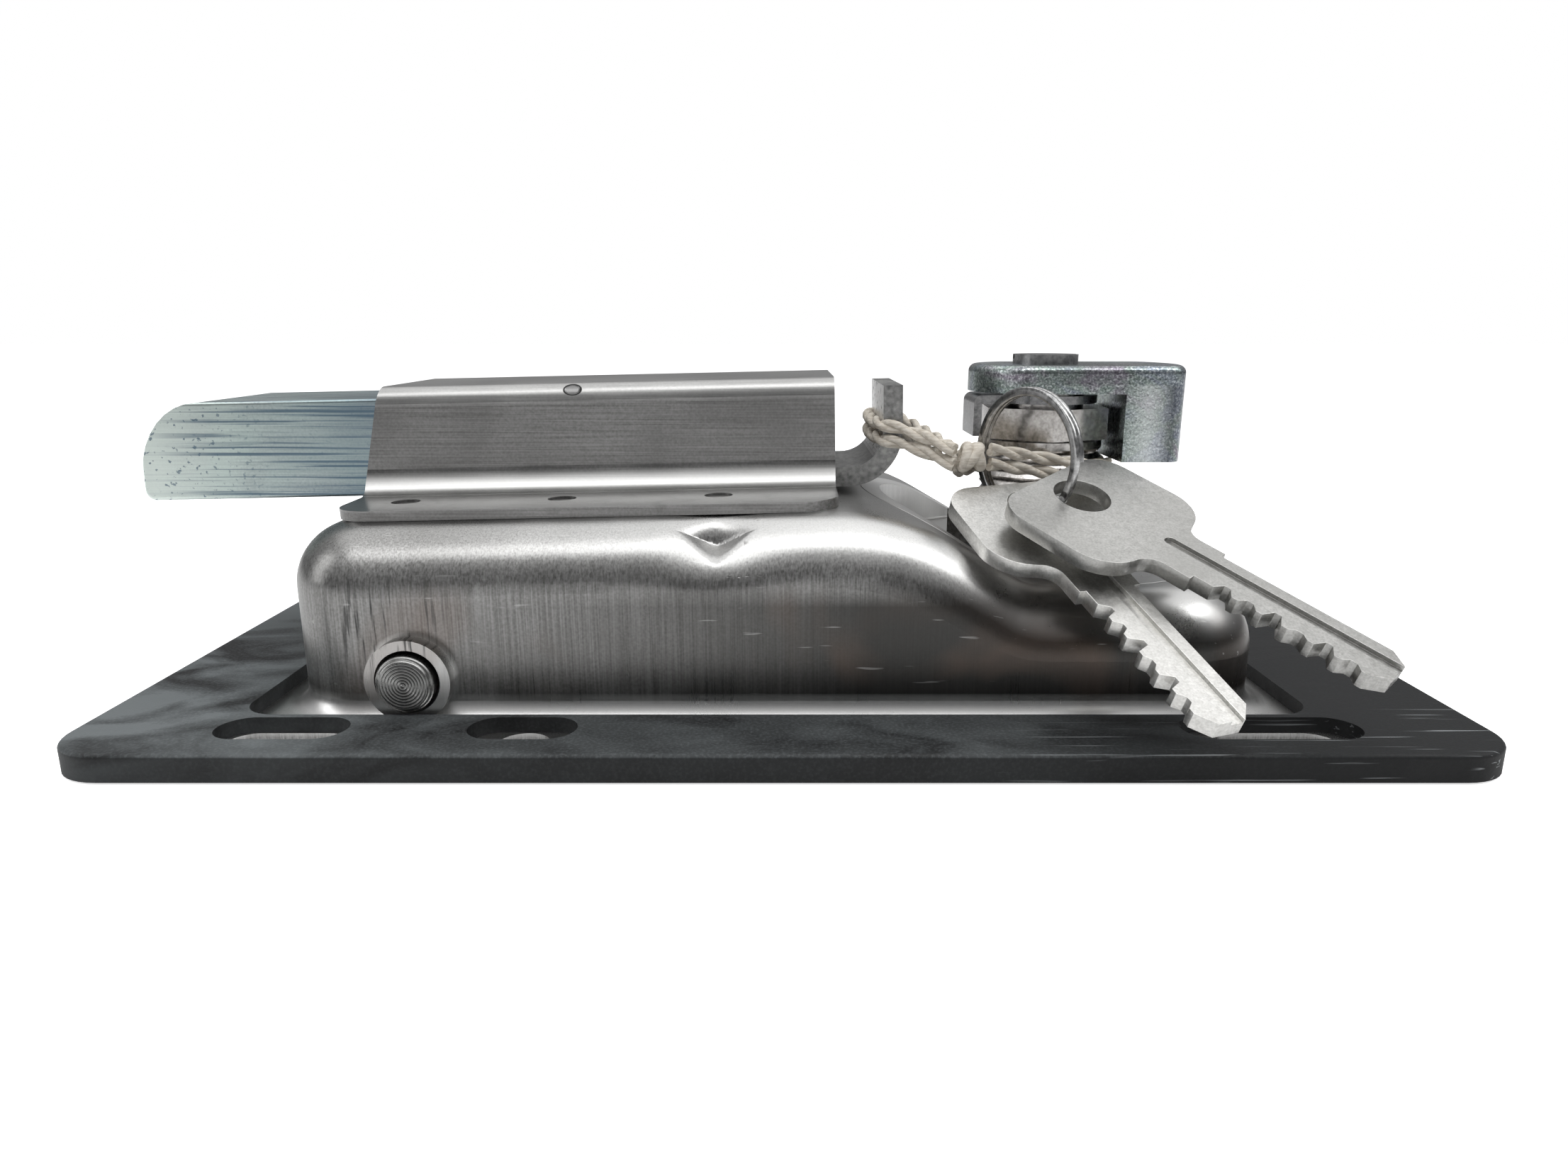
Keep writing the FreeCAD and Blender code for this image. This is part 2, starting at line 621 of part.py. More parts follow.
barrel_hole = cylinder("BarrelHole", D["barrel_bore"] / 2 + D["barrel_fit"], gauge * 6,
                       (lock_x, ZERO, low_top - gauge * 3))
dish = keep(minus("dish", drawn, joined("DishHoles", [pin_hole, lever_slot, barrel_hole] + mouths)))
dish.Label = "dish"
doc.recompute()

# gasket
gasket = keep(new_body("gasket"))
lip = D["gasket_lip"]
gasket_top = gauge + D["gasket_web"]
skin = new_sketch(gasket, "GasketOutline", "XY_Plane")
box_outline(skin, -(flange_half_x + lip), flange_half_x + lip, -(flange_half_y + lip), flange_half_y + lip)
pad(gasket, "GasketSlab", skin, gasket_top)
recess = new_sketch(gasket, "FlangeRecessOutline", "XY_Plane")
box_outline(recess, -flange_half_x, flange_half_x, -flange_half_y, flange_half_y)
pocket(gasket, "FlangeRecess", recess, gauge, flip=True)
round_near(gasket, "FlangeRecessCorners", D["flange_corner"], flange_corners)
round_near(gasket, "GasketCorners", D["flange_corner"] + lip,
           [(x, y, gauge) for x in (-(flange_half_x + lip), flange_half_x + lip)
            for y in (-(flange_half_y + lip), flange_half_y + lip)])
dress(gasket, "Fillet", "GasketEdge", D["gasket_edge"],
      edges_by(gasket.Tip.Shape, lambda e: all(abs(v.Z - gasket_top.value) < 0.01 for v in e.Vertexes)))
window = new_sketch(gasket, "WindowOutline", "XY_Plane")
window_left = -(D["dish_left"] + D["base_flare"] + D["window_gap"])
window_right = D["dish_right"] + D["base_flare"] + D["window_gap"]
box_outline(window, window_left, window_right, -window_half, window_half)
pocket(gasket, "Window", window, gasket_top * 2, flip=True)
round_near(gasket, "WindowCorners", D["gasket_open_corner"],
           [(x, y, gasket_top - D["gasket_web"] / 2) for x in (window_left, window_right)
            for y in (-window_half, window_half)])
openings = new_sketch(gasket, "GasketSlotOutline", "XY_Plane")
for sy in (-slot_y, slot_y):
    slot_outline(openings, -slot_x, sy, D["gasket_slot_left"], D["gasket_slot_breadth"])
    slot_outline(openings, middle_hole_x, sy, D["gasket_slot_mid"], D["gasket_slot_breadth"])
    slot_outline(openings, slot_x - D["gasket_slot_shift"], sy, D["gasket_slot_right"], D["gasket_slot_breadth"])
pocket(gasket, "GasketSlots", openings, gasket_top * 2, flip=True)

# bolt channel
channel = keep(on_slide(new_body("bolt_channel")))
foot = D["channel_foot"]
web = D["channel_half"]
height = D["channel_height"]
run_start = channel_start - D["channel_slant"]
hat = new_sketch(channel, "HatOutline", "YZ_Plane", run_start)
outline(hat, [(-foot, 0), (-(web - gauge), 0), (-(web - gauge), inner_roof), (web - gauge, inner_roof),
              (web - gauge, 0), (foot, 0), (foot, gauge), (web, gauge), (web, height), (-web, height),
              (-web, gauge), (-foot, gauge)])
pad(channel, "Hat", hat, D["channel_end"] - run_start)
middle_x = (channel_start + D["channel_end"]) / 2
bend_in = D["channel_bend"] - gauge
outer_bends = [(middle_x, web * s, height) for s in (-1, 1)]
outer_bends += [(middle_x, (web - gauge) * s, 0) for s in (-1, 1)]
inner_bends = [(middle_x, (web - gauge) * s, inner_roof) for s in (-1, 1)]
inner_bends += [(middle_x, web * s, gauge) for s in (-1, 1)]
round_near(channel, "BendsOutside", D["channel_bend"], outer_bends)
round_near(channel, "BendsInside", bend_in, inner_bends)
slant = new_sketch(channel, "SlantOutline", "XZ_Plane")
reach = D["channel_slant"]
outline(slant, [(run_start - reach, -gauge), (run_start - reach, height * 2),
                (run_start + reach * 2, height * 2), (run_start + reach * 2, height), (run_start, gauge),
                (run_start, -gauge)])
pocket(channel, "SlantCut", slant, foot * 4, symmetric=True)
round_near(channel, "FootCorners", D["foot_corner"],
           [(x, foot * s, gauge / 2) for x in (run_start, D["channel_end"]) for s in (-1, 1)])
tab = new_sketch(channel, "EndTabOutline", "YZ_Plane", tab_inside)
box_outline(tab, -D["end_tab_half"], D["end_tab_half"], D["end_tab_gap"], height - D["channel_bend"])
pad(channel, "EndTab", tab, gauge)
tab_up = new_sketch(channel, "EndTabTopOutline", "YZ_Plane", tab_inside)
box_outline(tab_up, -D["end_tab_half"] + 1, D["end_tab_half"] - 1, height - D["channel_bend"], height)
pad(channel, "EndTabTop", tab_up, gauge)
weld = new_sketch(channel, "WeldOutline", "XY_Plane", gauge)
for number in range(3):
    for side in (-1, 1):
        ring_outline(weld, channel_start + D["weld_inset"] + D["weld_pitch"] * number, D["weld_row"] * side, D["weld_bore"] / 2)
pocket(channel, "WeldDimples", weld, D["weld_depth"])

# slam bolt
bolt = keep(on_slide(new_body("slam_bolt")))
nose = -(D["dish_left"] + D["nose_reach"])
lift = D["bolt_lift"]
nose_outline = new_sketch(bolt, "BoltOutline", "XZ_Plane")
arc_x = nose + D["nose_run"]
arc_z = bolt_top - D["nose_drop"]
steps = 9
curve = []
for step in range(steps + 1):
    angle = math.pi / 2 * step / steps
    curve.append((arc_x - D["nose_run"] * math.cos(angle), arc_z + D["nose_drop"] * math.sin(angle)))
outline(nose_outline, [(nose, lift)] + curve + [(bolt_back, bolt_top), (bolt_back, lift)])
pad(bolt, "BoltBlock", nose_outline, D["bolt_half"] * 2, symmetric=True)
round_near(bolt, "NoseLip", D["nose_lip"], [(nose, 0, lift)])
long_edges = [((arc_x + bolt_back) / 2, D["bolt_half"] * s, z) for s in (-1, 1) for z in (lift, bolt_top)]
round_near(bolt, "BoltEdges", D["bolt_edge"], long_edges)
lever_u = pin_x
socket = new_sketch(bolt, "LeverPocketOutline", "XY_Plane", lift)
socket_half = D["lever_half"] + D["lever_neck_half"] / 2
box_outline(socket, lever_u - D["lever_pocket"] / 2, lever_u + D["lever_pocket"] / 2, -socket_half, socket_half)
pocket(bolt, "LeverPocket", socket, D["lever_pocket_depth"], flip=True)
seat_end = tail_start - D["bolt_edge"]
strip_seat = new_sketch(bolt, "TailSeatOutline", "XZ_Plane")
outline(strip_seat, [(seat_end, 0), (bolt_back + 2, 0), (bolt_back + 2, tail_roof), (seat_end, tail_roof)])
pocket(bolt, "TailSeat", strip_seat, D["bolt_half"] * 4, symmetric=True)
rivet_radius = D["rivet_bore"] / 2
rivet_y = D["rivet_spacing"] / 2
rivet_holes = new_sketch(bolt, "RivetHoleOutline", "XY_Plane", D["tail_lift"])
for side in (-1, 1):
    ring_outline(rivet_holes, rivet_x, rivet_y * side, rivet_radius)
pocket(bolt, "RivetHoles", rivet_holes, D["rivet_length"], flip=True)

# tail strip and rivets
tail = keep(on_slide(new_body("bolt_tail")))
tail_inner = D["tail_end"] - D["tail_gauge"]
strip = new_sketch(tail, "TailOutline", "XZ_Plane")
outline(strip, [(tail_start, D["tail_lift"]), (D["tail_end"], D["tail_lift"]),
                (D["tail_end"], D["tail_top"]), (tail_inner, D["tail_top"]), (tail_inner, tail_roof),
                (tail_start, tail_roof)])
pad(tail, "TailStrip", strip, D["tail_half"] * 2, symmetric=True)
round_near(tail, "TailBendOutside", D["tail_bend"], [(D["tail_end"], 0, D["tail_lift"])])
round_near(tail, "TailBendInside", D["tail_bend"] - D["tail_gauge"], [(tail_inner, 0, tail_roof)])
tail_holes = new_sketch(tail, "TailHoleOutline", "XY_Plane", ZERO)
for side in (-1, 1):
    ring_outline(tail_holes, rivet_x, rivet_y * side, rivet_radius)
pocket(tail, "TailHoles", tail_holes, tail_roof * 2, flip=True)

for side, label in ((-1, "near"), (1, "far")):
    rivet = keep(on_slide(new_body(f"tail_rivet_{label}")))
    face = new_sketch(rivet, f"Rivet{label}Outline", "XY_Plane", D["tail_lift"])
    ring_outline(face, rivet_x, rivet_y * side, rivet_radius)
    pad(rivet, f"Rivet{label}", face, D["rivet_length"])

# bolt spring
spring = keep(new_body("bolt_spring"))
wire_radius = D["spring_wire"] / 2
coil_start = bolt_back + D["spring_seat_gap"] + wire_radius
coil_length = tab_inside - D["spring_seat_gap"] - wire_radius - coil_start
coil_radius = D["spring_outside"] / 2 - wire_radius
wire = new_sketch(spring, "WireOutline", "XZ_Plane")
ring_outline(wire, coil_radius, ZERO, wire_radius)
coil = spring.newObject("PartDesign::AdditiveHelix", "Coil")
coil.Profile = wire
coil.ReferenceAxis = (next(f for f in spring.Origin.OriginFeatures if f.Role == "Z_Axis"), [""])
coil.Mode = "pitch-height-angle"
tie(coil, "Pitch", coil_length / D["spring_turns"])
tie(coil, "Height", coil_length)
coil.Pitch = (coil_length / D["spring_turns"]).value
coil.Height = coil_length.value
coil_place = FreeCAD.Placement(Vector(coil_start.value, 0, D["spring_height"].value),
                               FreeCAD.Rotation(Vector(0, 1, 0), 90))
spring.Placement = bolt.Placement.multiply(coil_place)
doc.recompute()

# paddle, outside of the door
paddle = keep(new_body("paddle"))
paddle_half = wall - gauge - D["paddle_side_gap"]
face_z = D["paddle_recess"]
rim_x = (-(D["dish_left"] - D["paddle_end_gap"]), D["paddle_right"])
face = new_sketch(paddle, "PaddleOutline", "XY_Plane", face_z)
box_outline(face, rim_x[0], rim_x[1], -paddle_half, paddle_half)
pad(paddle, "PaddleBlock", face, D["paddle_skirt"] - face_z)
middle_z = (face_z + D["paddle_skirt"]) / 2
tray = new_sketch(paddle, "TrayOutline", "XY_Plane", face_z + gauge)
box_outline(tray, rim_x[0] + gauge, rim_x[1] - gauge, -(paddle_half - gauge), paddle_half - gauge)
pocket(paddle, "Tray", tray, D["paddle_skirt"], flip=True)
round_near(paddle, "TrayCorners", D["paddle_corner"] - gauge,
           [(x, y, middle_z) for x in (rim_x[0] + gauge, rim_x[1] - gauge)
            for y in (-(paddle_half - gauge), paddle_half - gauge)])
round_near(paddle, "PaddleCorners", D["paddle_corner"], [(x, y, middle_z) for x in rim_x
                                                        for y in (-paddle_half, paddle_half)])
dress(paddle, "Fillet", "PaddleEdge", gauge,
      edges_by(paddle.Tip.Shape, lambda e: all(abs(v.Z - face_z.value) < 0.01 for v in e.Vertexes)))
lugs = new_sketch(paddle, "LugOutline", "XZ_Plane")
lug_top = D["pin_height"] + D["lug_rise"]
lug_left = pin_x - D["lug_length"] / 2
lug_right = pin_x + D["lug_length"] / 2
box_outline(lugs, lug_left, lug_right, face_z + gauge, lug_top)
pad(paddle, "LugBlock", lugs, paddle_half * 2, symmetric=True)
round_near(paddle, "LugCorners", D["lug_round"], [(lug_left, 0, lug_top), (lug_right, 0, lug_top)])
between = new_sketch(paddle, "BetweenLugsOutline", "XZ_Plane")
box_outline(between, lug_left - gauge, lug_right + gauge, face_z + gauge, lug_top * 2)
pocket(paddle, "BetweenLugs", between, (paddle_half - gauge) * 2, symmetric=True)
bores = new_sketch(paddle, "LugBoreOutline", "XZ_Plane")
ring_outline(bores, pin_x, D["pin_height"], pin_radius + D["running_fit"])
pocket(paddle, "LugBores", bores, wall * 4, symmetric=True)

# lever from the paddle to the bolt
lever = keep(new_body("lever_arm"))
tray_z = face_z + gauge
tip_z = top_line(pin_x) + D["lever_tip_lift"]
waist_z = tip_z - D["lever_neck_length"]
arm = new_sketch(lever, "LeverOutline", "XZ_Plane")
outline(arm, [(pin_x - D["lever_foot_half"], tray_z), (pin_x + D["lever_foot_half"], tray_z),
              (pin_x + D["lever_foot_half"], tray_z + gauge * 2), (pin_x + D["lever_waist_half"], waist_z),
              (pin_x + D["lever_neck_half"], tip_z - D["lever_tip_round"]), (pin_x + D["lever_neck_half"], tip_z),
              (pin_x - D["lever_neck_half"], tip_z), (pin_x - D["lever_neck_half"], tip_z - D["lever_tip_round"]),
              (pin_x - D["lever_waist_half"], waist_z), (pin_x - D["lever_foot_half"], tray_z + gauge * 2)])
pad(lever, "LeverPlate", arm, D["lever_half"] * 2, symmetric=True)
tip = new_sketch(lever, "LeverTipOutline", "XZ_Plane")
ring_outline(tip, pin_x, tip_z, D["lever_tip_round"])
pad(lever, "LeverTip", tip, D["lever_half"] * 2, symmetric=True)
hub = new_sketch(lever, "LeverHubOutline", "XZ_Plane")
ring_outline(hub, pin_x, D["pin_height"], pin_radius + D["running_fit"])
pocket(lever, "LeverBore", hub, wall, symmetric=True)

# pivot pin
pin = keep(new_body("pivot_pin"))
pin_end = wall + D["pin_proud"]
rod = new_sketch(pin, "PinOutline", "XZ_Plane")
ring_outline(rod, pin_x, D["pin_height"], pin_radius)
pad(pin, "PinRod", rod, pin_end * 2, symmetric=True)
dress(pin, "Chamfer", "PinEnds", D["pin_chamfer"],
      edges_by(pin.Tip.Shape, lambda e: abs(abs(e.CenterOfMass.y) - pin_end.value) < 0.01))



def on_lock_axis(body):
    """Put a body's own origin on the lock axis."""
    body.Placement = FreeCAD.Placement(Vector(lock_x.value, 0, 0), FreeCAD.Rotation())
    tie(body, "Placement.Base.x", lock_x)
    return body


# lock barrel with its head on the outside of the door
lock_body = keep(on_lock_axis(new_body("lock_body")))
low = low_top
thread_low = low + D["thread_rise"]
wafer_low = low + D["wafer_lift"]
barrel = D["barrel_bore"] / 2
head = D["lock_head_bore"] / 2
head_z = low - gauge - D["lock_head_depth"]
plug_hole = D["plug_bore"] / 2 + D["running_fit"]
barrel_face = new_sketch(lock_body, "BarrelOutline", "XZ_Plane")
profile = [(plug_hole, head_z), (head - 1, head_z), (head, head_z + 1), (head, low - gauge), (barrel, low - gauge)]
grooves = int(D["thread_count"].value)
for groove in range(grooves):
    base = thread_low + D["thread_pitch"] * groove
    profile += [(barrel, base), (barrel - D["thread_depth"], base + D["thread_pitch"] / 2)]
profile += [(barrel, thread_low + D["thread_pitch"] * grooves), (barrel, barrel_top),
            (plug_hole, barrel_top)]
outline(barrel_face, profile)
turn(lock_body, "Barrel", barrel_face, "Z_Axis")

# turning plug, its wafers and key slot
plug = keep(on_lock_axis(new_body("lock_plug")))
plug_radius = D["plug_bore"] / 2
plug_face = head_z + 0.3
cam_top = cam_base + D["cam_gauge"]
plug_round = new_sketch(plug, "PlugOutline", "XY_Plane", plug_face)
ring_outline(plug_round, ZERO, ZERO, plug_radius)
pad(plug, "PlugRound", plug_round, cam_base - plug_face)
square_half = D["drive_square"] / 2
drive = new_sketch(plug, "DriveOutline", "XY_Plane", cam_base)
box_outline(drive, -square_half, square_half, -square_half, square_half)
pad(plug, "DriveSquare", drive, D["cam_gauge"])
slot_half = D["keyway_length"] / 2
keyway = new_sketch(plug, "KeywayOutline", "XY_Plane", plug_face)
box_outline(keyway, -slot_half, slot_half, -(D["keyway_breadth"] / 2), D["keyway_breadth"] / 2)
pocket(plug, "Keyway", keyway, D["keyway_depth"], flip=True)
wafer_count = 5
for number in range(wafer_count):
    level = wafer_low + D["wafer_pitch"] * number
    bay = new_sketch(plug, f"WaferBay{number}Outline", "XY_Plane", level - D["wafer_fit"])
    bay_half = D["wafer_breadth"] / 2 + D["wafer_fit"]
    box_outline(bay, -bay_half, bay_half, -plug_radius, plug_radius)
    pocket(plug, f"WaferBay{number}", bay, D["wafer_gauge"] + D["wafer_fit"] * 2, flip=True)
thread_hole = new_sketch(plug, "CamScrewHoleOutline", "XY_Plane", cam_top)
ring_outline(thread_hole, ZERO, ZERO, D["screw_shank"] / 2)
pocket(plug, "CamScrewHole", thread_hole, D["screw_length"])

wafers = keep(on_lock_axis(new_body("plug_wafers")))
for number in range(wafer_count):
    level = wafer_low + D["wafer_pitch"] * number
    plate = new_sketch(wafers, f"Wafer{number}Outline", "XY_Plane", level)
    box_outline(plate, -(D["wafer_breadth"] / 2), D["wafer_breadth"] / 2, -(D["wafer_length"] / 2),
                D["wafer_length"] / 2)
    eye = D["keyway_breadth"] / 2
    box_outline(plate, -(D["wafer_breadth"] / 2 - 0.9), D["wafer_breadth"] / 2 - 0.9, -eye - 1, eye + 1)
    pad(wafers, f"Wafer{number}", plate, D["wafer_gauge"])

# washer and nut that clamp the lock to the dish
washer = keep(on_lock_axis(new_body("lock_washer")))
washer_face = new_sketch(washer, "WasherOutline", "XY_Plane", low)
ring_outline(washer_face, ZERO, ZERO, D["washer_outside"] / 2)
ring_outline(washer_face, ZERO, ZERO, barrel + D["barrel_fit"])
pad(washer, "WasherPlate", washer_face, D["washer_gauge"])


def hexagon(sketch, flats, turned):
    """Hexagon with a corner at the given angle in degrees."""
    across = flats.value / math.sqrt(3)
    corners = []
    for number in range(6):
        angle = math.radians(turned + 60 * number)
        cosine, sine = math.cos(angle), math.sin(angle)
        corners.append((flats * (cosine / math.sqrt(3)), flats * (sine / math.sqrt(3))))
    outline(sketch, corners)
    return across


nut = keep(on_lock_axis(new_body("lock_nut")))
nut_base = low + D["washer_gauge"]
nut_face = new_sketch(nut, "NutOutline", "XY_Plane", nut_base)
hexagon(nut_face, (barrel + D["nut_wall"]) * 2, 0)
ring_outline(nut_face, ZERO, ZERO, barrel)
pad(nut, "NutBlock", nut_face, D["nut_height"])

# hexagon on the plug under the cam
hub_nut = keep(on_lock_axis(new_body("cam_hexagon")))
hub_face = new_sketch(hub_nut, "HexagonOutline", "XY_Plane", barrel_top + D["hub_gap"])
hexagon(hub_face, D["hub_flats"], -90 - D["hub_turn"].value)
ring_outline(hub_face, ZERO, ZERO, plug_radius)
pad(hub_nut, "HexagonBlock", hub_face, D["hub_height"])

# bent washer between hexagon and cam
tab_washer = keep(on_lock_axis(new_body("cam_tab_washer")))
washer_top = cam_base - D["tab_washer_gap"]
washer_low = washer_top - D["tab_washer_gauge"]
disc = new_sketch(tab_washer, "TabWasherOutline", "XY_Plane", washer_low)
ring_outline(disc, ZERO, ZERO, D["tab_washer_round"])
pad(tab_washer, "TabWasherDisc", disc, D["tab_washer_gauge"])
arm_plate = new_sketch(tab_washer, "TabWasherArmOutline", "XY_Plane", washer_low)
half = D["tab_washer_half"]
box_outline(arm_plate, -D["tab_washer_reach"], -half, -half, half)
pad(tab_washer, "TabWasherArm", arm_plate, D["tab_washer_gauge"])
leg_plate = new_sketch(tab_washer, "TabWasherLegOutline", "XY_Plane", tab_washer_base)
leg_inside = -(D["tab_washer_reach"] - D["tab_washer_gauge"])
box_outline(leg_plate, -D["tab_washer_reach"], leg_inside, -half, half)
pad(tab_washer, "TabWasherLeg", leg_plate, washer_top - tab_washer_base)
washer_bore = new_sketch(tab_washer, "TabWasherBoreOutline", "XY_Plane", washer_low)
ring_outline(washer_bore, ZERO, ZERO, plug_radius)
pocket(tab_washer, "TabWasherBore", washer_bore, gauge * 2, flip=True)
round_near(tab_washer, "TabWasherBend", D["tab_washer_gauge"], [(-D["tab_washer_reach"], 0, washer_top)])

# cam
cam = keep(on_lock_axis(new_body("cam")))
near = D["cam_near"]
far = D["cam_reach"]
half = D["cam_half"]
plan = new_sketch(cam, "CamPlan", "XY_Plane", cam_leg_base)
near_x = math.sqrt(near.value ** 2 - half.value ** 2)
far_x = math.sqrt(far.value ** 2 - half.value ** 2)
up = Vector(0, 0, 1)
near_angle = math.atan2(half.value, -near_x)
far_angle = math.atan2(half.value, far_x)
middle = Vector(0, 0, 0)
left_arc = plan.addGeometry(Part.ArcOfCircle(Part.Circle(middle, up, near.value), near_angle,
                                             2 * math.pi - near_angle))
right_arc = plan.addGeometry(Part.ArcOfCircle(Part.Circle(middle, up, far.value), -far_angle, far_angle))
front_line = plan.addGeometry(Part.LineSegment(Vector(-near_x, -half.value, 0), Vector(far_x, -half.value, 0)))
rear_line = plan.addGeometry(Part.LineSegment(Vector(far_x, half.value, 0), Vector(-near_x, half.value, 0)))
for one, one_end, two, two_end in ((left_arc, 2, front_line, 1), (front_line, 2, right_arc, 1),
                                   (right_arc, 2, rear_line, 1), (rear_line, 2, left_arc, 1)):
    plan.addConstraint(Sketcher.Constraint("Coincident", one, one_end, two, two_end))
for geo, radius in ((left_arc, near), (right_arc, far)):
    plan.addConstraint(Sketcher.Constraint("Coincident", geo, 3, -1, 1))
    hold_radius(plan, geo, radius)
for geo, dim in ((front_line, -half), (rear_line, half)):
    plan.addConstraint(Sketcher.Constraint("Horizontal", geo))
    number = plan.addConstraint(Sketcher.Constraint("DistanceY", -1, 1, geo, 1, dim.value))
    plan.setExpression(f"Constraints[{number}]", dim.text)
pad(cam, "CamBlock", plan, cam_top - cam_leg_base)
leg_mid = (cam_leg_base + cam_top) / 2
cam_corners = edges_by(cam.Tip.Shape, lambda e: abs(e.Vertexes[0].X - e.Vertexes[-1].X) < 0.01
                       and abs(e.Vertexes[0].Y - e.Vertexes[-1].Y) < 0.01 and e.Length > 1)
dress(cam, "Fillet", "CamCorners", D["cam_round"], cam_corners)
under = new_sketch(cam, "CamUnderOutline", "XZ_Plane")
box_outline(under, -(far * 2), D["cam_leg_start"], 0, cam_base)
pocket(cam, "CamUnder", under, half * 4, symmetric=True)
dress(cam, "Fillet", "CamTopEdge", D["cam_edge"],
      edges_by(cam.Tip.Shape, lambda e: all(abs(v.Z - cam_top.value) < 0.01 for v in e.Vertexes)))
cam_square = new_sketch(cam, "CamSquareOutline", "XY_Plane", cam_base)
box_outline(cam_square, -square_half, square_half, -square_half, square_half)
pocket(cam, "CamSquare", cam_square, D["cam_gauge"] * 2, flip=True)

# cam screw
screw = keep(on_lock_axis(new_body("cam_screw")))
screw_face = new_sketch(screw, "ScrewHeadOutline", "XY_Plane", cam_top)
ring_outline(screw_face, ZERO, ZERO, D["screw_head"] / 2)
pad(screw, "ScrewHead", screw_face, D["screw_head_depth"])
shank = new_sketch(screw, "ScrewShankOutline", "XY_Plane", cam_top - D["screw_length"])
ring_outline(shank, ZERO, ZERO, D["screw_shank"] / 2)
pad(screw, "ScrewShank", shank, D["screw_length"])
slot = new_sketch(screw, "ScrewSlotOutline", "XY_Plane", cam_top + D["screw_head_depth"])
box_outline(slot, -D["screw_head"], D["screw_head"], -0.6, 0.6)
pocket(screw, "ScrewSlot", slot, D["screw_head_depth"] / 2)


# keys, ring and twine as the latch is delivered
CUT_DEPTHS = (0.5, 0.9, 0.4, 1.0, 0.6, 0.8)


def key(name, hole_spot, along, across):
    """Flat key hung by its hole: local X runs from the hole to the tip, local Y to its plain edge."""
    body = keep(new_body(name))
    bow_end = -D["key_hole_inset"]
    bow = bow_end + D["bow_length"]
    side = D["bow_breadth"] / 2
    blade_half = D["blade_breadth"] / 2
    thick = D["key_gauge"]
    tip_x = bow + D["blade_length"]
    bow_face = new_sketch(body, f"{name}BowOutline", "XY_Plane", -(thick / 2))
    box_outline(bow_face, bow_end, bow, -side, side)
    pad(body, f"{name}Bow", bow_face, thick)
    round_near(body, f"{name}BowCorners", D["bow_corner"],
               [(x, y, 0) for x in (bow_end, bow) for y in (-side, side)])
    blade = new_sketch(body, f"{name}BladeOutline", "XY_Plane", -(thick / 2))
    neck = D["shoulder_breadth"] / 2
    edge = [(bow - thick, neck), (bow + D["shoulder_length"], neck), (bow + D["shoulder_length"], blade_half),
            (tip_x - thick, blade_half), (tip_x, blade_half / 2), (tip_x, -(blade_half / 2)),
            (tip_x - thick, -blade_half)]
    step = D["notch_pitch"] / 4
    for number, depth in enumerate(CUT_DEPTHS):
        right = tip_x - thick - D["notch_pitch"] * number - step
        floor = -blade_half + D["notch_depth"] * depth
        edge += [(right, -blade_half), (right - step, floor), (right - step * 2, floor),
                 (right - step * 3, -blade_half)]
    edge += [(bow + D["shoulder_length"], -blade_half), (bow + D["shoulder_length"], -neck), (bow - thick, -neck)]
    outline(blade, edge)
    pad(body, f"{name}Blade", blade, thick)
    hole = new_sketch(body, f"{name}HoleOutline", "XY_Plane", -(thick / 2))
    ring_outline(hole, ZERO, ZERO, D["key_hole"] / 2)
    pocket(body, f"{name}Hole", hole, thick, flip=True)
    groove_face = new_sketch(body, f"{name}GrooveOutline", "XY_Plane", thick / 2)
    box_outline(groove_face, bow - thick, tip_x + 1, ZERO, D["milling_breadth"])
    pocket(body, f"{name}Groove", groove_face, D["milling_depth"])
    body.Placement = facing(hole_spot, along, across)
    return body


def near_lock(name):
    """Spot of a hung piece, named in the sheet from the lock axis and the low top."""
    return Vector(lock_x.value + D[f"{name}_x"].value, D[f"{name}_y"].value, low_top.value + D[f"{name}_z"].value)


def facing(spot, along, across):
    """Placement at spot with local X along the first direction and local Y nearest the second."""
    x_axis = Vector(*along).normalize()
    y_axis = Vector(*across)
    y_axis = (y_axis - x_axis * x_axis.dot(y_axis)).normalize()
    z_axis = x_axis.cross(y_axis)
    return FreeCAD.Placement(FreeCAD.Matrix(
        x_axis.x, y_axis.x, z_axis.x, spot[0], x_axis.y, y_axis.y, z_axis.y, spot[1],
        x_axis.z, y_axis.z, z_axis.z, spot[2], 0, 0, 0, 1))


key_upper = key("key_upper", near_lock("key_upper"), (0.671, -0.647, -0.362), (0.732, 0.655, 0.187))
key_lower = key("key_lower", near_lock("key_lower"), (0.32, -0.856, -0.406), (0.94, 0.339, 0.026))

# split ring: threads both holes and hangs on the twine
ring = keep(new_body("key_ring"))
RING_RISE = Vector(-0.063, 0.099, 0.993)
RING_ACROSS = Vector(0.535, -0.845, 0.0)
wire_half = D["ring_wire"] / 2
ring_line = D["ring_outside"] / 2 - wire_half
band = new_sketch(ring, "RingOutline", "XZ_Plane")
ring_outline(band, ring_line, ZERO, wire_half)
turn(ring, "RingBand", band, "Z_Axis")
ring.Placement = facing(near_lock("ring_foot") + RING_RISE * ring_line.value, RING_ACROSS, RING_RISE)


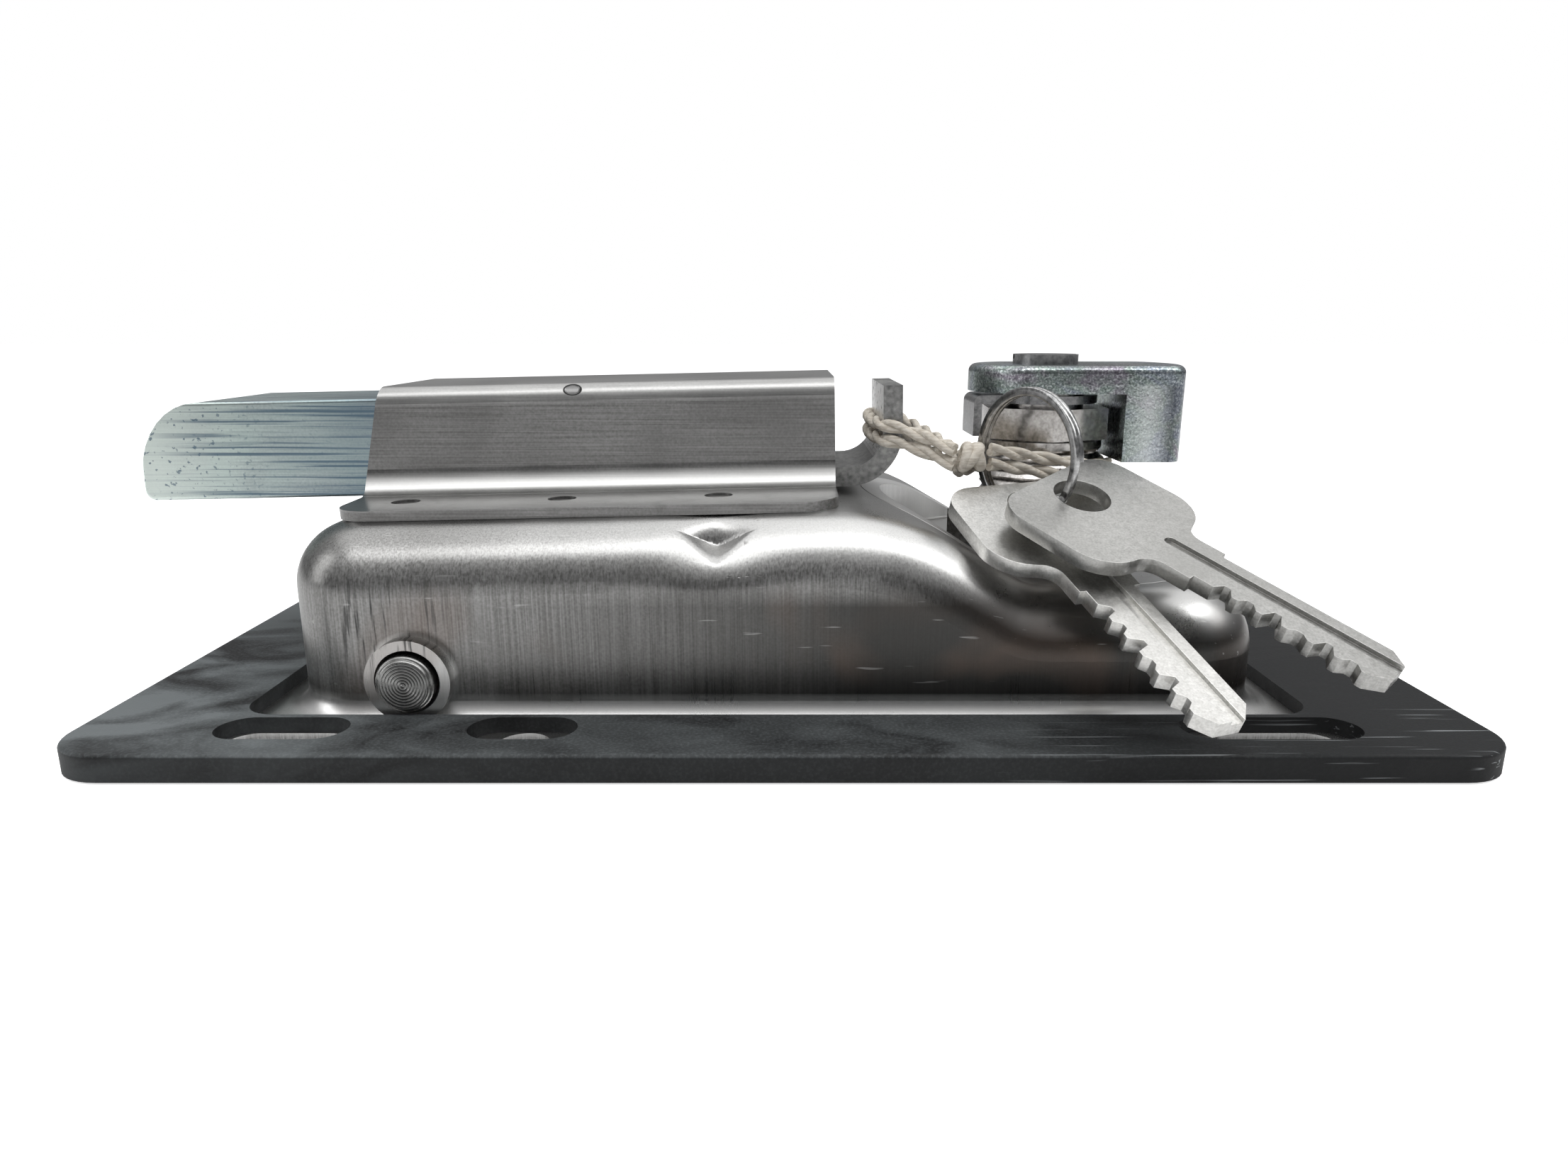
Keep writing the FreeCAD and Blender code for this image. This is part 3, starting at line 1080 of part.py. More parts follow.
def cord(name, points):
    """Twine along points: straight runs joined by tangent arcs, open at both ends."""
    spots = [Vector(*p) for p in points]
    radii = []
    edges = []
    reached = spots[0]
    for before, here, after in zip(spots, spots[1:], spots[2:]):
        back = before - here
        ahead = after - here
        trim = 0.45 * min(back.Length, ahead.Length)
        back.normalize()
        ahead.normalize()
        half_turn = (math.pi - back.getAngle(ahead)) / 2
        radius = trim / math.tan(half_turn)
        bisector = (back + ahead).normalize()
        start = here + back * trim
        end = here + ahead * trim
        middle = here + bisector * (radius / math.cos(half_turn) - radius)
        edges.append(Part.LineSegment(reached, start).toShape())
        edges.append(Part.Arc(start, middle, end).toShape())
        radii.append(round(radius, 1))
        reached = end
    edges.append(Part.LineSegment(reached, spots[-1]).toShape())
    section = Part.Wire(Part.makeCircle(D["cord_gauge"].value / 2, spots[0], spots[1] - spots[0]))
    thing = doc.addObject("Part::Feature", name)
    thing.Label = name
    thing.Shape = Part.Wire(edges).makePipeShell([section], True, True)
    print(name, "arc radii", radii, "through", [tuple(round(v, 2) for v in spot) for spot in spots])
    return keep(thing)


def about_lock(angle, radius, level):
    turned = math.radians(angle)
    return (lock_x.value + radius * math.cos(turned), radius * math.sin(turned), level)


knot_spot = near_lock("knot")
cord_width = D["cord_gauge"].value
clear = D["cord_clear"].value
strand = cord_width / 2 + clear
knot_half = D["cord_gauge"]
knot_deep = D["cord_gauge"] * 1.15
past_knot = knot_half.value * 1.375
loop = (barrel.value + strand) / math.cos(math.radians(22.5))
# how far each stretch of a strand still is from its turn's height towards the knot's: coming, meeting, leaving, behind
COMING, MEETING, LEAVING, BEHIND = 0.567, 0.21, 0.0, 0.26
for label, lift in (("upper", strand), ("lower", -strand)):
    turn_z = low_top.value + D[f"turn_{label}"].value
    knot_z = knot_spot.z + lift
    climb = knot_z - turn_z
    path = [(knot_spot.x + past_knot, knot_spot.y, knot_z),
            about_lock(-106.7, loop + cord_width * 0.22, turn_z + climb * COMING),
            about_lock(-67.5, loop, turn_z + climb * MEETING)]
    path += [about_lock(angle, loop, turn_z) for angle in (-22.5, 22.5, 67.5, 112.5)]
    path += [about_lock(157.5, loop + cord_width * 0.65, turn_z + climb * LEAVING),
             about_lock(198.4, loop + cord_width * 1.8, turn_z + climb * BEHIND),
             (knot_spot.x + cord_width * 0.225, knot_spot.y + cord_width * 1.7, knot_z)]
    cord(f"twine_lock_{label}", path)
tab_side = D["tail_half"].value + strand + clear * 2
tab_left = tail_inner.value - strand - clear * 3
tab_right = D["tail_end"].value
tie_z = D["plateau_height"].value + D["tie_rise"].value
for label, level, lift in (("upper", tie_z, strand), ("lower", tie_z - cord_width * 1.15, -strand)):
    cord(f"twine_tab_{label}", [
        (knot_spot.x - past_knot, knot_spot.y - strand, knot_spot.z + lift),
        (tab_right + cord_width * 0.25, -tab_side, level - cord_width * 0.3),
        (tab_left, -tab_side, level), (tab_left, tab_side, level),
        (tab_right + cord_width * 0.8, tab_side, level - cord_width * 0.15),
        (knot_spot.x - past_knot, knot_spot.y + strand, knot_spot.z + lift)])
knot = doc.addObject("Part::Ellipsoid", "twine_knot")
knot.Label = "twine_knot"
tie(knot, "Radius1", knot_half)
tie(knot, "Radius2", knot_deep)
tie(knot, "Radius3", knot_deep)
knot.Placement = FreeCAD.Placement(knot_spot, FreeCAD.Rotation())
keep(knot)

# written out
doc.recompute()
faults = [o.Name for o in doc.Objects if {"Invalid", "Error"} & set(o.State)]
if faults:
    raise RuntimeError(f"failed objects: {faults}")
os.makedirs("parts", exist_ok=True)
for thing in subparts:
    shape = thing.Shape
    if shape.isNull() or not shape.isValid():
        raise RuntimeError(f"{thing.Label}: no valid shape")
    shape.exportStep(os.path.join("parts", f"{thing.Label}.step"))
    print(thing.Label, round(shape.Volume, 1), len(shape.Solids), [round(v, 2) for v in (
        shape.BoundBox.XMin, shape.BoundBox.XMax, shape.BoundBox.YMin, shape.BoundBox.YMax,
        shape.BoundBox.ZMin, shape.BoundBox.ZMax)])
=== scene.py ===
"""Paddle latch, dressed: finishes of the metal and rubber pieces, the tied keys, and the studio."""

import logging
import math
from dataclasses import dataclass
from enum import Enum

import bmesh
import bpy
from mathutils import Matrix, Vector


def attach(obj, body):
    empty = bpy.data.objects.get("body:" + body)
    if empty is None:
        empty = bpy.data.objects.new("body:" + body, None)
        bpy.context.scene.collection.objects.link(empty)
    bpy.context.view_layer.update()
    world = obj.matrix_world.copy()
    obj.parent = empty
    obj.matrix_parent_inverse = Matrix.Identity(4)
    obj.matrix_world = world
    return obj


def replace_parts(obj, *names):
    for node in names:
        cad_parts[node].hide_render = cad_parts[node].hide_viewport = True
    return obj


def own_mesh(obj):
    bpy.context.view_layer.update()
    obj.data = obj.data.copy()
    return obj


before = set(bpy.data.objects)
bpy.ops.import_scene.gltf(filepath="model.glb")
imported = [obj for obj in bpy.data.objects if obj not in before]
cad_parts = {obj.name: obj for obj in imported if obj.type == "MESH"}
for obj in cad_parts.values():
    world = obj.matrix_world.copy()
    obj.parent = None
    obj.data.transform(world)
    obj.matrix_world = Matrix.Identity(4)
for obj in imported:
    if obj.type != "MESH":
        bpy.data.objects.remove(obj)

Rgb = tuple[float, float, float]
Point = tuple[float, float, float]
Span = tuple[float, float]
Socket = bpy.types.NodeSocket

LOG = logging.getLogger("paddle_latch")
MM = 0.001
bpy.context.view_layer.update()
PLATEAU = 29.5
TILT = 0.02182
PIVOT = (-51.2, 8.0)
WHITE = (1.0, 1.0, 1.0, 1.0)


class Body(Enum):
    """Rigid bodies that the new pieces ride on."""

    FRAME = "frame"
    KEYS = "keys"


class Brushing(Enum):
    """Direction of the fine lines, as cycles per millimetre along X, Y and Z."""

    ALONG_X = (0.05, 4.0, 4.0)
    UPRIGHT = (4.5, 4.5, 0.07)
    ROUND = (1.2, 1.2, 1.2)
    ACROSS_PIN = (3.0, 0.4, 3.0)


class Nodes:
    """Shader tree, put together a node at a time."""

    def __init__(self, tree: bpy.types.NodeTree) -> None:
        """Takes the tree to build in."""
        self.tree = tree

    def add(self, kind: str, inputs: dict[str | int, object], **settings: object) -> bpy.types.Node:
        """Adds a node.

        Args:
            kind: Node type.
            inputs: Socket name or number to a value or another node's socket.
            settings: Properties of the node.

        Returns:
            The new node.
        """
        node = self.tree.nodes.new(kind)
        for key, value in settings.items():
            setattr(node, key, value)
        for key, value in inputs.items():
            if isinstance(value, bpy.types.NodeSocket):
                self.tree.links.new(value, node.inputs[key])
            else:
                node.inputs[key].default_value = value
        return node

    def sum(self, operation: str, first: object, second: object = 0.0) -> Socket:
        """One step of arithmetic."""
        return self.add("ShaderNodeMath", {0: first, 1: second}, operation=operation).outputs[0]

    def plus(self, first: object, second: object) -> Socket:
        """Two values added."""
        return self.sum("ADD", first, second)

    def minus(self, first: object, second: object) -> Socket:
        """The second value taken from the first."""
        return self.sum("SUBTRACT", first, second)

    def times(self, first: object, second: object) -> Socket:
        """Two values multiplied."""
        return self.sum("MULTIPLY", first, second)

    def reach(self, across: Socket, above: Socket) -> Socket:
        """Distance that goes with two sides at right angles."""
        return self.sum("SQRT", self.plus(self.times(across, across), self.times(above, above)))

    def parts(self, vector: Socket) -> tuple[Socket, ...]:
        """X, Y and Z of a vector."""
        return tuple(self.add("ShaderNodeSeparateXYZ", {0: vector}).outputs)

    def seen(self, mirrored: float) -> Socket:
        """How much of the white background a ray shows.

        Args:
            mirrored: Share that metal and glass show.

        Returns:
            One for the camera, the share for glossy and transmission rays, nothing for the rest.
        """
        ray = self.add("ShaderNodeLightPath", {})
        bounced = self.sum("MAXIMUM", ray.outputs["Is Glossy Ray"], ray.outputs["Is Transmission Ray"])
        return self.sum("MAXIMUM", ray.outputs["Is Camera Ray"], self.times(bounced, mirrored))


class Graph(Nodes):
    """Shader of one material, with the colour, roughness and normal gathered for it so far."""

    def __init__(self, name: str) -> None:
        """Starts a material with its principled shader.

        Args:
            name: Name of the material.
        """
        self.material = bpy.data.materials.new(name)
        self.material.use_nodes = True
        super().__init__(self.material.node_tree)
        self.shader = self.tree.nodes["Principled BSDF"]
        self.place: Socket = self.tree.nodes.new("ShaderNodeTexCoord").outputs["Object"]
        self.color: Socket | None = None
        self.rough: Socket | None = None
        self.normal: Socket | None = None

    def stretched(self, cycles: Point, turn: Point = (0.0, 0.0, 0.0)) -> Socket:
        """Object coordinates scaled to cycles per millimetre along each axis."""
        inputs = {"Vector": self.place, "Scale": tuple(c / MM for c in cycles), "Rotation": turn}
        return self.add("ShaderNodeMapping", inputs).outputs[0]

    def noise(self, cycles: float, detail: float = 2.0, at: Socket | None = None,
              warp: float = 0.0) -> Socket:
        """Noise factor.

        Args:
            cycles: Cycles per millimetre, or the scale of the given vector.
            detail: Octaves.
            at: Vector to read; object coordinates when left out.
            warp: Distortion.

        Returns:
            The factor socket.
        """
        inputs = {"Vector": at or self.place, "Scale": cycles / MM if at is None else cycles,
                  "Detail": detail, "Distortion": warp}
        return self.add("ShaderNodeTexNoise", inputs).outputs["Fac"]

    def remap(self, value: Socket, low: float, high: float, to_low: float = 0.0,
              to_high: float = 1.0) -> Socket:
        """Clamped linear change of range."""
        inputs = {"Value": value, "From Min": low, "From Max": high, "To Min": to_low, "To Max": to_high}
        return self.add("ShaderNodeMapRange", inputs).outputs[0]

    def band(self, value: Socket, span: Span, soft: float) -> Socket:
        """One inside a span, falling to nothing over a soft edge."""
        rise = self.remap(value, span[0] - soft, span[0] + soft)
        return self.times(rise, self.remap(value, span[1] - soft, span[1] + soft, 1.0, 0.0))

    def normal_parts(self, kind: str) -> tuple[Socket, ...]:
        """X, Y and Z of the smoothed (Normal) or flat (True Normal) direction of the surface."""
        return self.parts(self.add("ShaderNodeNewGeometry", {}).outputs[kind])

    def blend(self, share: object, first: object, second: object) -> Socket:
        """Mix of two colours by a share."""
        inputs = {0: share, 6: _rgba(first), 7: _rgba(second)}
        return self.add("ShaderNodeMix", inputs, data_type="RGBA").outputs[2]

    def coat(self, mask: object, over: object, share: float | None = None) -> None:
        """Lays a colour over the one gathered so far.

        Args:
            mask: Where it lies, from nothing to one.
            over: The colour.
            share: How far it covers there; wholly when left out.
        """
        self.color = self.blend(mask if share is None else self.times(mask, share), self.color, over)

    def press(self, height: Socket, depth: float) -> None:
        """Adds relief to the normal gathered so far.

        Args:
            height: Height, from nothing to one.
            depth: Depth in millimetres.
        """
        under = {} if self.normal is None else {"Normal": self.normal}
        inputs = {"Height": height, "Distance": depth * MM, "Strength": 1.0, **under}
        self.normal = self.add("ShaderNodeBump", inputs).outputs[0]

    def fixed(self, **values: float) -> None:
        """Sets plain numbers on the principled shader, underscores standing for spaces."""
        for key, value in values.items():
            self.shader.inputs[key.replace("_", " ")].default_value = value

    def finish(self) -> bpy.types.Material:
        """Feeds what was gathered to the principled shader.

        Returns:
            The material.
        """
        gathered = {"Base Color": self.color, "Roughness": self.rough, "Normal": self.normal}
        for name, value in gathered.items():
            if value is not None:
                self.tree.links.new(value, self.shader.inputs[name])
        return self.material


def _rgba(value: object) -> object:
    """A colour with its alpha, or the socket as it is."""
    return (*value, 1.0) if isinstance(value, tuple) else value


@dataclass(frozen=True)
class Metal:
    """Bare metal with fine lines, grain and slow blotches."""

    name: str
    light: Rgb
    dark: Rgb
    smooth: float
    rough: float
    lines: Brushing = Brushing.ROUND
    line_depth: float = 0.004
    grain: float = 2.6
    grain_depth: float = 0.004
    blotch: float = 0.06
    speckle: float = 0.35
    mottle: float = 0.6
    mottle_top: float = 1.15

    def build(self) -> bpy.types.Material:
        """Makes the material.

        Returns:
            The material.
        """
        graph = Graph(self.name)
        graph.fixed(Metallic=1.0)
        lines = graph.noise(1.0, 4.0, graph.stretched(self.lines.value))
        grain = graph.noise(self.grain, 3.0)
        slow = graph.noise(self.blotch, 3.0, warp=0.6)
        tone = graph.times(graph.remap(lines, 0.3, 0.7), 1.0 - self.speckle)
        tone = graph.plus(tone, graph.times(graph.remap(grain, 0.3, 0.7), self.speckle))
        tone = graph.times(tone, graph.remap(slow, 0.3, 0.7, self.mottle_top - self.mottle, self.mottle_top))
        graph.color = graph.blend(graph.remap(tone, 0.1, 0.85), self.dark, self.light)
        graph.rough = graph.remap(graph.plus(slow, lines), 0.7, 1.3, self.smooth, self.rough)
        graph.press(grain, self.grain_depth)
        graph.press(lines, self.line_depth)
        self.marks(graph)
        return graph.finish()

    def marks(self, graph: Graph) -> None:
        """Adds what is particular to a piece; plain metal has nothing more."""


@dataclass(frozen=True)
class DishSteel(Metal):
    """Pressed stainless sheet: coined band, drawing marks and heat tints. Ways and heights are in metres."""

    seat_x: float = 43.0
    bowl_span: Span = (0.0, 0.0265)
    coin_span: Span = (0.0265, 0.0298)
    seat_edge: float = 0.0001
    seat_height: Span = (0.0190, 0.0196)
    bowl_way: Span = (0.0165, 0.027)
    wall_height: Span = (0.003, 0.020)
    dimmed_way: Span = (-0.056, 0.012)
    crown_lean: Span = (0.30, 0.75)
    crown_way: Span = (-0.050, 0.010)
    collar_reach: Span = (0.0066, 0.0059)
    foot_height: Span = (0.0015, 0.0050)
    streak_way: Span = (-0.062, -0.047)
    streak_height: Span = (0.010, 0.021)
    streak_edge: float = 0.003
    tint: Rgb = (0.17, 0.12, 0.095)
    dark_streak: Rgb = (0.05, 0.05, 0.05)
    shadow: Rgb = (0.050, 0.049, 0.047)
    # painted highlight on the shoulders
    painted_highlight: Rgb = (0.90, 0.90, 0.89)
    # painted shade at the bowl's left
    bowl_painted_shade: Rgb = (0.08, 0.08, 0.08)
    # worn: the pale tone of real scratches, also used as painted light in the bowl and painted highlight
    # round the collar
    worn: Rgb = (0.80, 0.80, 0.79)
    # painted highlight on the coined band
    coin_highlight: Rgb = (0.88, 0.88, 0.87)
    # painted highlight along the foot line
    foot_highlight: Rgb = (0.92, 0.92, 0.91)

    def marks(self, graph: Graph) -> None:
        """Adds painted shade on the wall, painted highlights on the shoulders, collar, foot line and coined
        band, painted light and shade in the bowl, the tints, dark upright streaks and the drawing marks.

        Args:
            graph: Shader being built.
        """
        x, y, z = graph.parts(graph.place)
        wall = graph.band(z, self.wall_height, 0.002)
        graph.coat(graph.times(graph.remap(x, *self.dimmed_way, 0.0, 0.96), wall), self.shadow)
        # painted highlight on the shoulders, stronger towards the lock end
        shoulder_highlight = graph.remap(graph.normal_parts("Normal")[2], *self.crown_lean, 0.0, 0.50)
        graph.coat(graph.times(shoulder_highlight, graph.remap(x, *self.crown_way, 0.10, 1.0)), self.painted_highlight)
        reach = graph.reach(graph.minus(x, self.seat_x * MM), y)
        high = graph.remap(z, *self.seat_height)
        # painted light and shade in the bowl: dark at its left, the worn tone as painted light at its right
        shade = graph.blend(graph.remap(x, *self.bowl_way), self.bowl_painted_shade, self.worn)
        graph.coat(graph.times(graph.band(reach, self.bowl_span, self.seat_edge), high), shade)
        # the coined band is real; its bright colour is painted highlight
        coined = graph.times(graph.band(reach, self.coin_span, self.seat_edge), high)
        graph.coat(coined, self.coin_highlight, 0.75)
        graph.rough = graph.plus(graph.rough, graph.times(coined, 0.10))
        graph.press(coined, 0.25)
        # painted highlight round the pin's collar, in the worn tone
        pin_reach = graph.reach(graph.minus(x, PIVOT[0] * MM), graph.minus(z, PIVOT[1] * MM))
        graph.coat(graph.remap(pin_reach, *self.collar_reach, 0.0, 0.65), self.worn)
        # painted highlight along the foot line
        graph.coat(graph.band(z, self.foot_height, 0.0006), self.foot_highlight, 0.8)
        patch = graph.remap(graph.noise(0.035, 2.0, warp=1.2), 0.56, 0.74, 0.0, 0.35)
        graph.coat(graph.times(patch, wall), self.tint)
        # darker upright streaks near the left end of the wall
        streaks = graph.remap(graph.noise(1.0, 4.0, graph.stretched((1.6, 0.2, 0.10))), 0.54, 0.62, 0.0, 0.85)
        place = graph.times(graph.band(x, self.streak_way, self.streak_edge),
                            graph.band(z, self.streak_height, self.streak_edge))
        graph.coat(graph.times(streaks, place), self.dark_streak)
        scratch = graph.noise(1.0, 2.0, graph.stretched((0.12, 2.2, 1.1), (0.0, 0.35, 0.35)))
        graph.coat(graph.remap(scratch, 0.70, 0.74, 0.0, 0.20), self.worn)


@dataclass(frozen=True)
class CastMetal(Metal):
    """Zinc-plated die casting: sparkling grain with blue and green sheen. Ways are in metres."""

    blue: Rgb = (0.42, 0.48, 0.62)
    green: Rgb = (0.44, 0.56, 0.50)
    violet: Rgb = (0.52, 0.44, 0.56)
    pit: Rgb = (0.05, 0.055, 0.06)
    spark: Rgb = (0.86, 0.90, 0.90)
    leg_height: Span = (0.0466, 0.0460)
    # painted shade band on the leg
    shade_band_way: Span = (0.0592, 0.0617)
    painted_shade: Rgb = (0.07, 0.075, 0.08)
    # middle: painted shade on the middle of the plate
    middle_way: Span = (0.0400, 0.0520)
    middle: Rgb = (0.06, 0.065, 0.07)
    # painted highlight band on the leg
    gleam_way: Span = (0.0550, 0.0585)
    painted_gleam: Rgb = (0.84, 0.88, 0.88)

    def marks(self, graph: Graph) -> None:
        """Adds the plating's coloured sheen, its sparkle, and painted light and shade bands on its leg and
        plate.

        Args:
            graph: Shader being built.
        """
        drift = graph.noise(0.11, 3.0, warp=1.5)
        sheen = graph.blend(graph.remap(drift, 0.38, 0.52), self.blue, self.green)
        graph.coat(0.42, graph.blend(graph.remap(drift, 0.55, 0.68), sheen, self.violet))
        grit = graph.noise(3.0, 3.0)
        graph.coat(graph.remap(grit, 0.38, 0.50, 0.45, 0.0), self.pit)
        graph.coat(graph.remap(grit, 0.52, 0.64, 0.0, 0.45), self.spark)
        x, _, z = graph.parts(graph.place)
        leg = graph.remap(z, *self.leg_height)
        plate = graph.minus(1.0, leg)
        # painted shade bands on the leg and the plate's middle, and a painted highlight band on the leg
        for way, soft, where, tone, share in ((self.shade_band_way, 0.0012, leg, self.painted_shade, 0.60),
                                              (self.middle_way, 0.0040, plate, self.middle, 0.45),
                                              (self.gleam_way, 0.0020, leg, self.painted_gleam, 0.55)):
            graph.coat(graph.times(graph.band(x, way, soft), where), tone, share)
        graph.press(graph.noise(1.6, 3.0), 0.035)


@dataclass(frozen=True)
class Plating(Metal):
    """Bluish zinc plating with dark brush lines along the piece. Ways are in metres."""

    line_dark: Rgb = (0.10, 0.16, 0.22)
    green: Rgb = (0.56, 0.68, 0.64)
    nose_pale: Rgb = (0.80, 0.88, 0.83)
    nose_way: Span = (-0.098, -0.083)
    inner_way: Span = (-0.085, -0.066)
    line_way: Span = (-0.097, -0.088)
    pit_way: Span = (-0.090, -0.078)

    def marks(self, graph: Graph) -> None:
        """Adds the greenish drift, the pale nose, the long dark lines and the pits.

        Args:
            graph: Shader being built.
        """
        x = graph.parts(graph.place)[0]
        graph.coat(graph.remap(graph.noise(0.05, 2.0, warp=0.8), 0.4, 0.65, 0.0, 0.5), self.green)
        graph.coat(graph.remap(x, *self.nose_way, 0.75, 0.0), self.nose_pale)
        graph.coat(graph.remap(x, *self.inner_way, 0.0, 0.46), self.line_dark)
        lines = graph.noise(1.0, 5.0, graph.stretched((0.025, 1.8, 1.8)))
        graph.coat(graph.times(graph.remap(lines, 0.50, 0.60, 0.0, 0.85),
                               graph.remap(x, *self.line_way, 0.15, 1.0)), self.line_dark)
        graph.coat(graph.times(graph.remap(graph.noise(1.4, 3.0), 0.62, 0.68, 0.0, 0.8),
                               graph.remap(x, *self.pit_way, 1.0, 0.25)), self.line_dark)


@dataclass(frozen=True)
class FoldedSteel(Metal):
    """Sheet of the hat section: painted highlights along its folds, with one pressed mark in painted shade.
    """

    height: float = 18.0
    fold: float = 2.7
    side: Span = (0.0139, 0.0143)
    mark: Point = (-31.7, -13.95, 45.8)
    mark_size: Point = (1.35, 2.5, 0.8)
    # pale: painted highlight on the folds
    pale: Rgb = (0.74, 0.74, 0.73)
    stain: Rgb = (0.09, 0.085, 0.08)
    # painted shade in the pressed mark, darker at its rim
    mark_shade: Rgb = (0.14, 0.14, 0.14)
    mark_rim_shade: Rgb = (0.03, 0.03, 0.03)

    def marks(self, graph: Graph) -> None:
        """Adds painted highlights along the folds, the stains along the foot and the pressed mark in painted
        shade.

        Args:
            graph: Shader being built.
        """
        x, y, z = graph.parts(graph.place)
        rise = graph.minus(graph.minus(z, graph.times(x, TILT)), PLATEAU * MM)
        lower = graph.times(graph.remap(rise, (self.fold + 3.0) * MM, 1.6 * MM),
                            graph.remap(graph.sum("ABSOLUTE", y), *self.side))
        graph.press(graph.sum("POWER", lower, 1.6), 2.2)
        # painted highlight along the lower fold
        graph.coat(graph.band(rise, (1.7 * MM, 4.6 * MM), 0.5 * MM), self.pale, 0.60)
        # painted highlight along the top fold
        top = ((self.height - self.fold) * MM, (self.height + 1.0) * MM)
        graph.coat(graph.band(rise, top, 0.5 * MM), self.pale, 0.32)
        stains = graph.remap(graph.noise(0.22, 3.0, warp=1.0), 0.52, 0.70, 0.0, 0.25)
        graph.coat(graph.times(stains, graph.band(rise, (0.5 * MM, 1.7 * MM), 0.1 * MM)), self.stain)
        off = [graph.sum("DIVIDE", graph.minus(part, spot * MM), wide * MM)
               for part, spot, wide in zip((x, y, z), self.mark, self.mark_size)]
        squares = [graph.times(part, part) for part in off]
        reach = graph.plus(graph.plus(squares[0], squares[1]), squares[2])
        # painted shade in the pressed mark, darkest at its rim; the dent itself is pressed into the normal
        graph.coat(graph.remap(reach, 0.6, 1.0, 0.75, 0.0), self.mark_shade)
        graph.coat(graph.band(reach, (0.75, 1.15), 0.1), self.mark_rim_shade)
        graph.press(graph.remap(reach, 0.5, 1.0), 0.3)


@dataclass(frozen=True)
class ShearedSteel(Metal):
    """Strip steel whose sheared end is pale and pitted."""

    sheared: Rgb = (1.0, 1.0, 0.99)
    pit: Rgb = (0.22, 0.22, 0.22)

    def marks(self, graph: Graph) -> None:
        """Adds the pale pitted face that looks along -X.

        Args:
            graph: Shader being built.
        """
        pits = graph.remap(graph.noise(0.9, 4.0), 0.58, 0.64, 0.0, 0.85)
        face = graph.remap(graph.normal_parts("True Normal")[0], -0.7, -0.9)
        graph.coat(face, graph.blend(pits, self.sheared, self.pit))


@dataclass(frozen=True)
class TurnedSteel(Metal):
    """Pin steel with lathe rings on its ends."""

    rings: float = 2.4
    # painted reflection of a dark fan, and painted highlight along the lathe rings
    fan: Rgb = (0.08, 0.08, 0.078)
    painted_gleam: Rgb = (0.62, 0.62, 0.61)

    def marks(self, graph: Graph) -> None:
        """Adds painted highlights along the rings and the painted dark fan that they reflect.

        Args:
            graph: Shader being built.
        """
        x, _, z = graph.parts(graph.place)
        across = graph.minus(x, PIVOT[0] * MM)
        above = graph.minus(z, PIVOT[1] * MM)
        wave = graph.sum("SINE", graph.times(graph.reach(across, above), self.rings * math.tau / MM))
        fan = graph.sum("SINE", graph.plus(graph.sum("ARCTAN2", above, across), 0.5))
        # painted reflection of a dark fan, and painted highlight along the lathe rings
        graph.coat(graph.remap(graph.sum("ABSOLUTE", fan), 0.2, 0.8, 0.0, 0.75), self.fan)
        graph.coat(graph.remap(wave, 0.2, 1.0, 0.0, 0.35), self.painted_gleam)
        graph.press(wave, 0.02)


@dataclass(frozen=True)
class Rubber:
    """Black sheet rubber, scuffed grey. Ways are in metres."""

    name: str
    black: Rgb
    scuffed: Rgb
    scratch: Rgb = (0.34, 0.36, 0.37)
    left_way: Span = (-0.095, -0.035)
    right_way: Span = (0.020, 0.075)
    scratch_way: Span = (0.02, 0.06)
    scratch_front: Span = (-0.035, -0.045)
    skew: Point = (0.0, 0.0, 0.5)

    def build(self) -> bpy.types.Material:
        """Makes the material.

        Returns:
            The material.
        """
        graph = Graph(self.name)
        graph.fixed(Specular_IOR_Level=0.22)
        x, y, _ = graph.parts(graph.place)
        slow = graph.noise(1.0, 8.0, graph.stretched((0.055, 0.10, 0.1), self.skew), 0.9)
        grain = graph.noise(2.4, 4.0)
        worn = graph.times(graph.remap(slow, 0.34, 0.68), graph.remap(x, *self.left_way, 1.75, 0.40))
        worn = graph.plus(worn, graph.remap(grain, 0.45, 0.75, 0.0, 0.30))
        worn = graph.times(worn, graph.remap(x, *self.right_way, 1.0, 0.12))
        graph.color = graph.blend(graph.remap(worn, 0.0, 1.1), self.black, self.scuffed)
        graph.coat(graph.remap(graph.normal_parts("True Normal")[2], 0.5, 0.3, 0.0, 0.75), self.black)
        lines = graph.noise(1.0, 2.0, graph.stretched((0.05, 1.6, 1.6), self.skew))
        corner = graph.times(graph.remap(x, *self.scratch_way), graph.remap(y, *self.scratch_front))
        graph.coat(graph.times(graph.remap(lines, 0.64, 0.72, 0.0, 0.7), corner), self.scratch)
        graph.rough = graph.remap(slow, 0.3, 0.7, 0.42, 0.66)
        graph.press(slow, 0.08)
        graph.press(grain, 0.03)
        return graph.finish()


@dataclass(frozen=True)
class Fibre:
    """Pale twisted twine."""

    name: str
    pale: Rgb
    shade: Rgb

    def build(self) -> bpy.types.Material:
        """Makes the material.

        Returns:
            The material.
        """
        graph = Graph(self.name)
        graph.fixed(Roughness=0.85, Specular_IOR_Level=0.2)
        hairs = graph.noise(1.0, 4.0, graph.stretched((0.5, 1.6, 3.2), (0.3, 0.5, 0.2)))
        stains = graph.remap(graph.noise(0.25, 2.0), 0.3, 0.7, 0.7, 1.0)
        share = graph.times(graph.remap(hairs, 0.35, 0.65), stains)
        graph.color = graph.blend(share, self.shade, self.pale)
        graph.press(hairs, 0.04)
        return graph.finish()


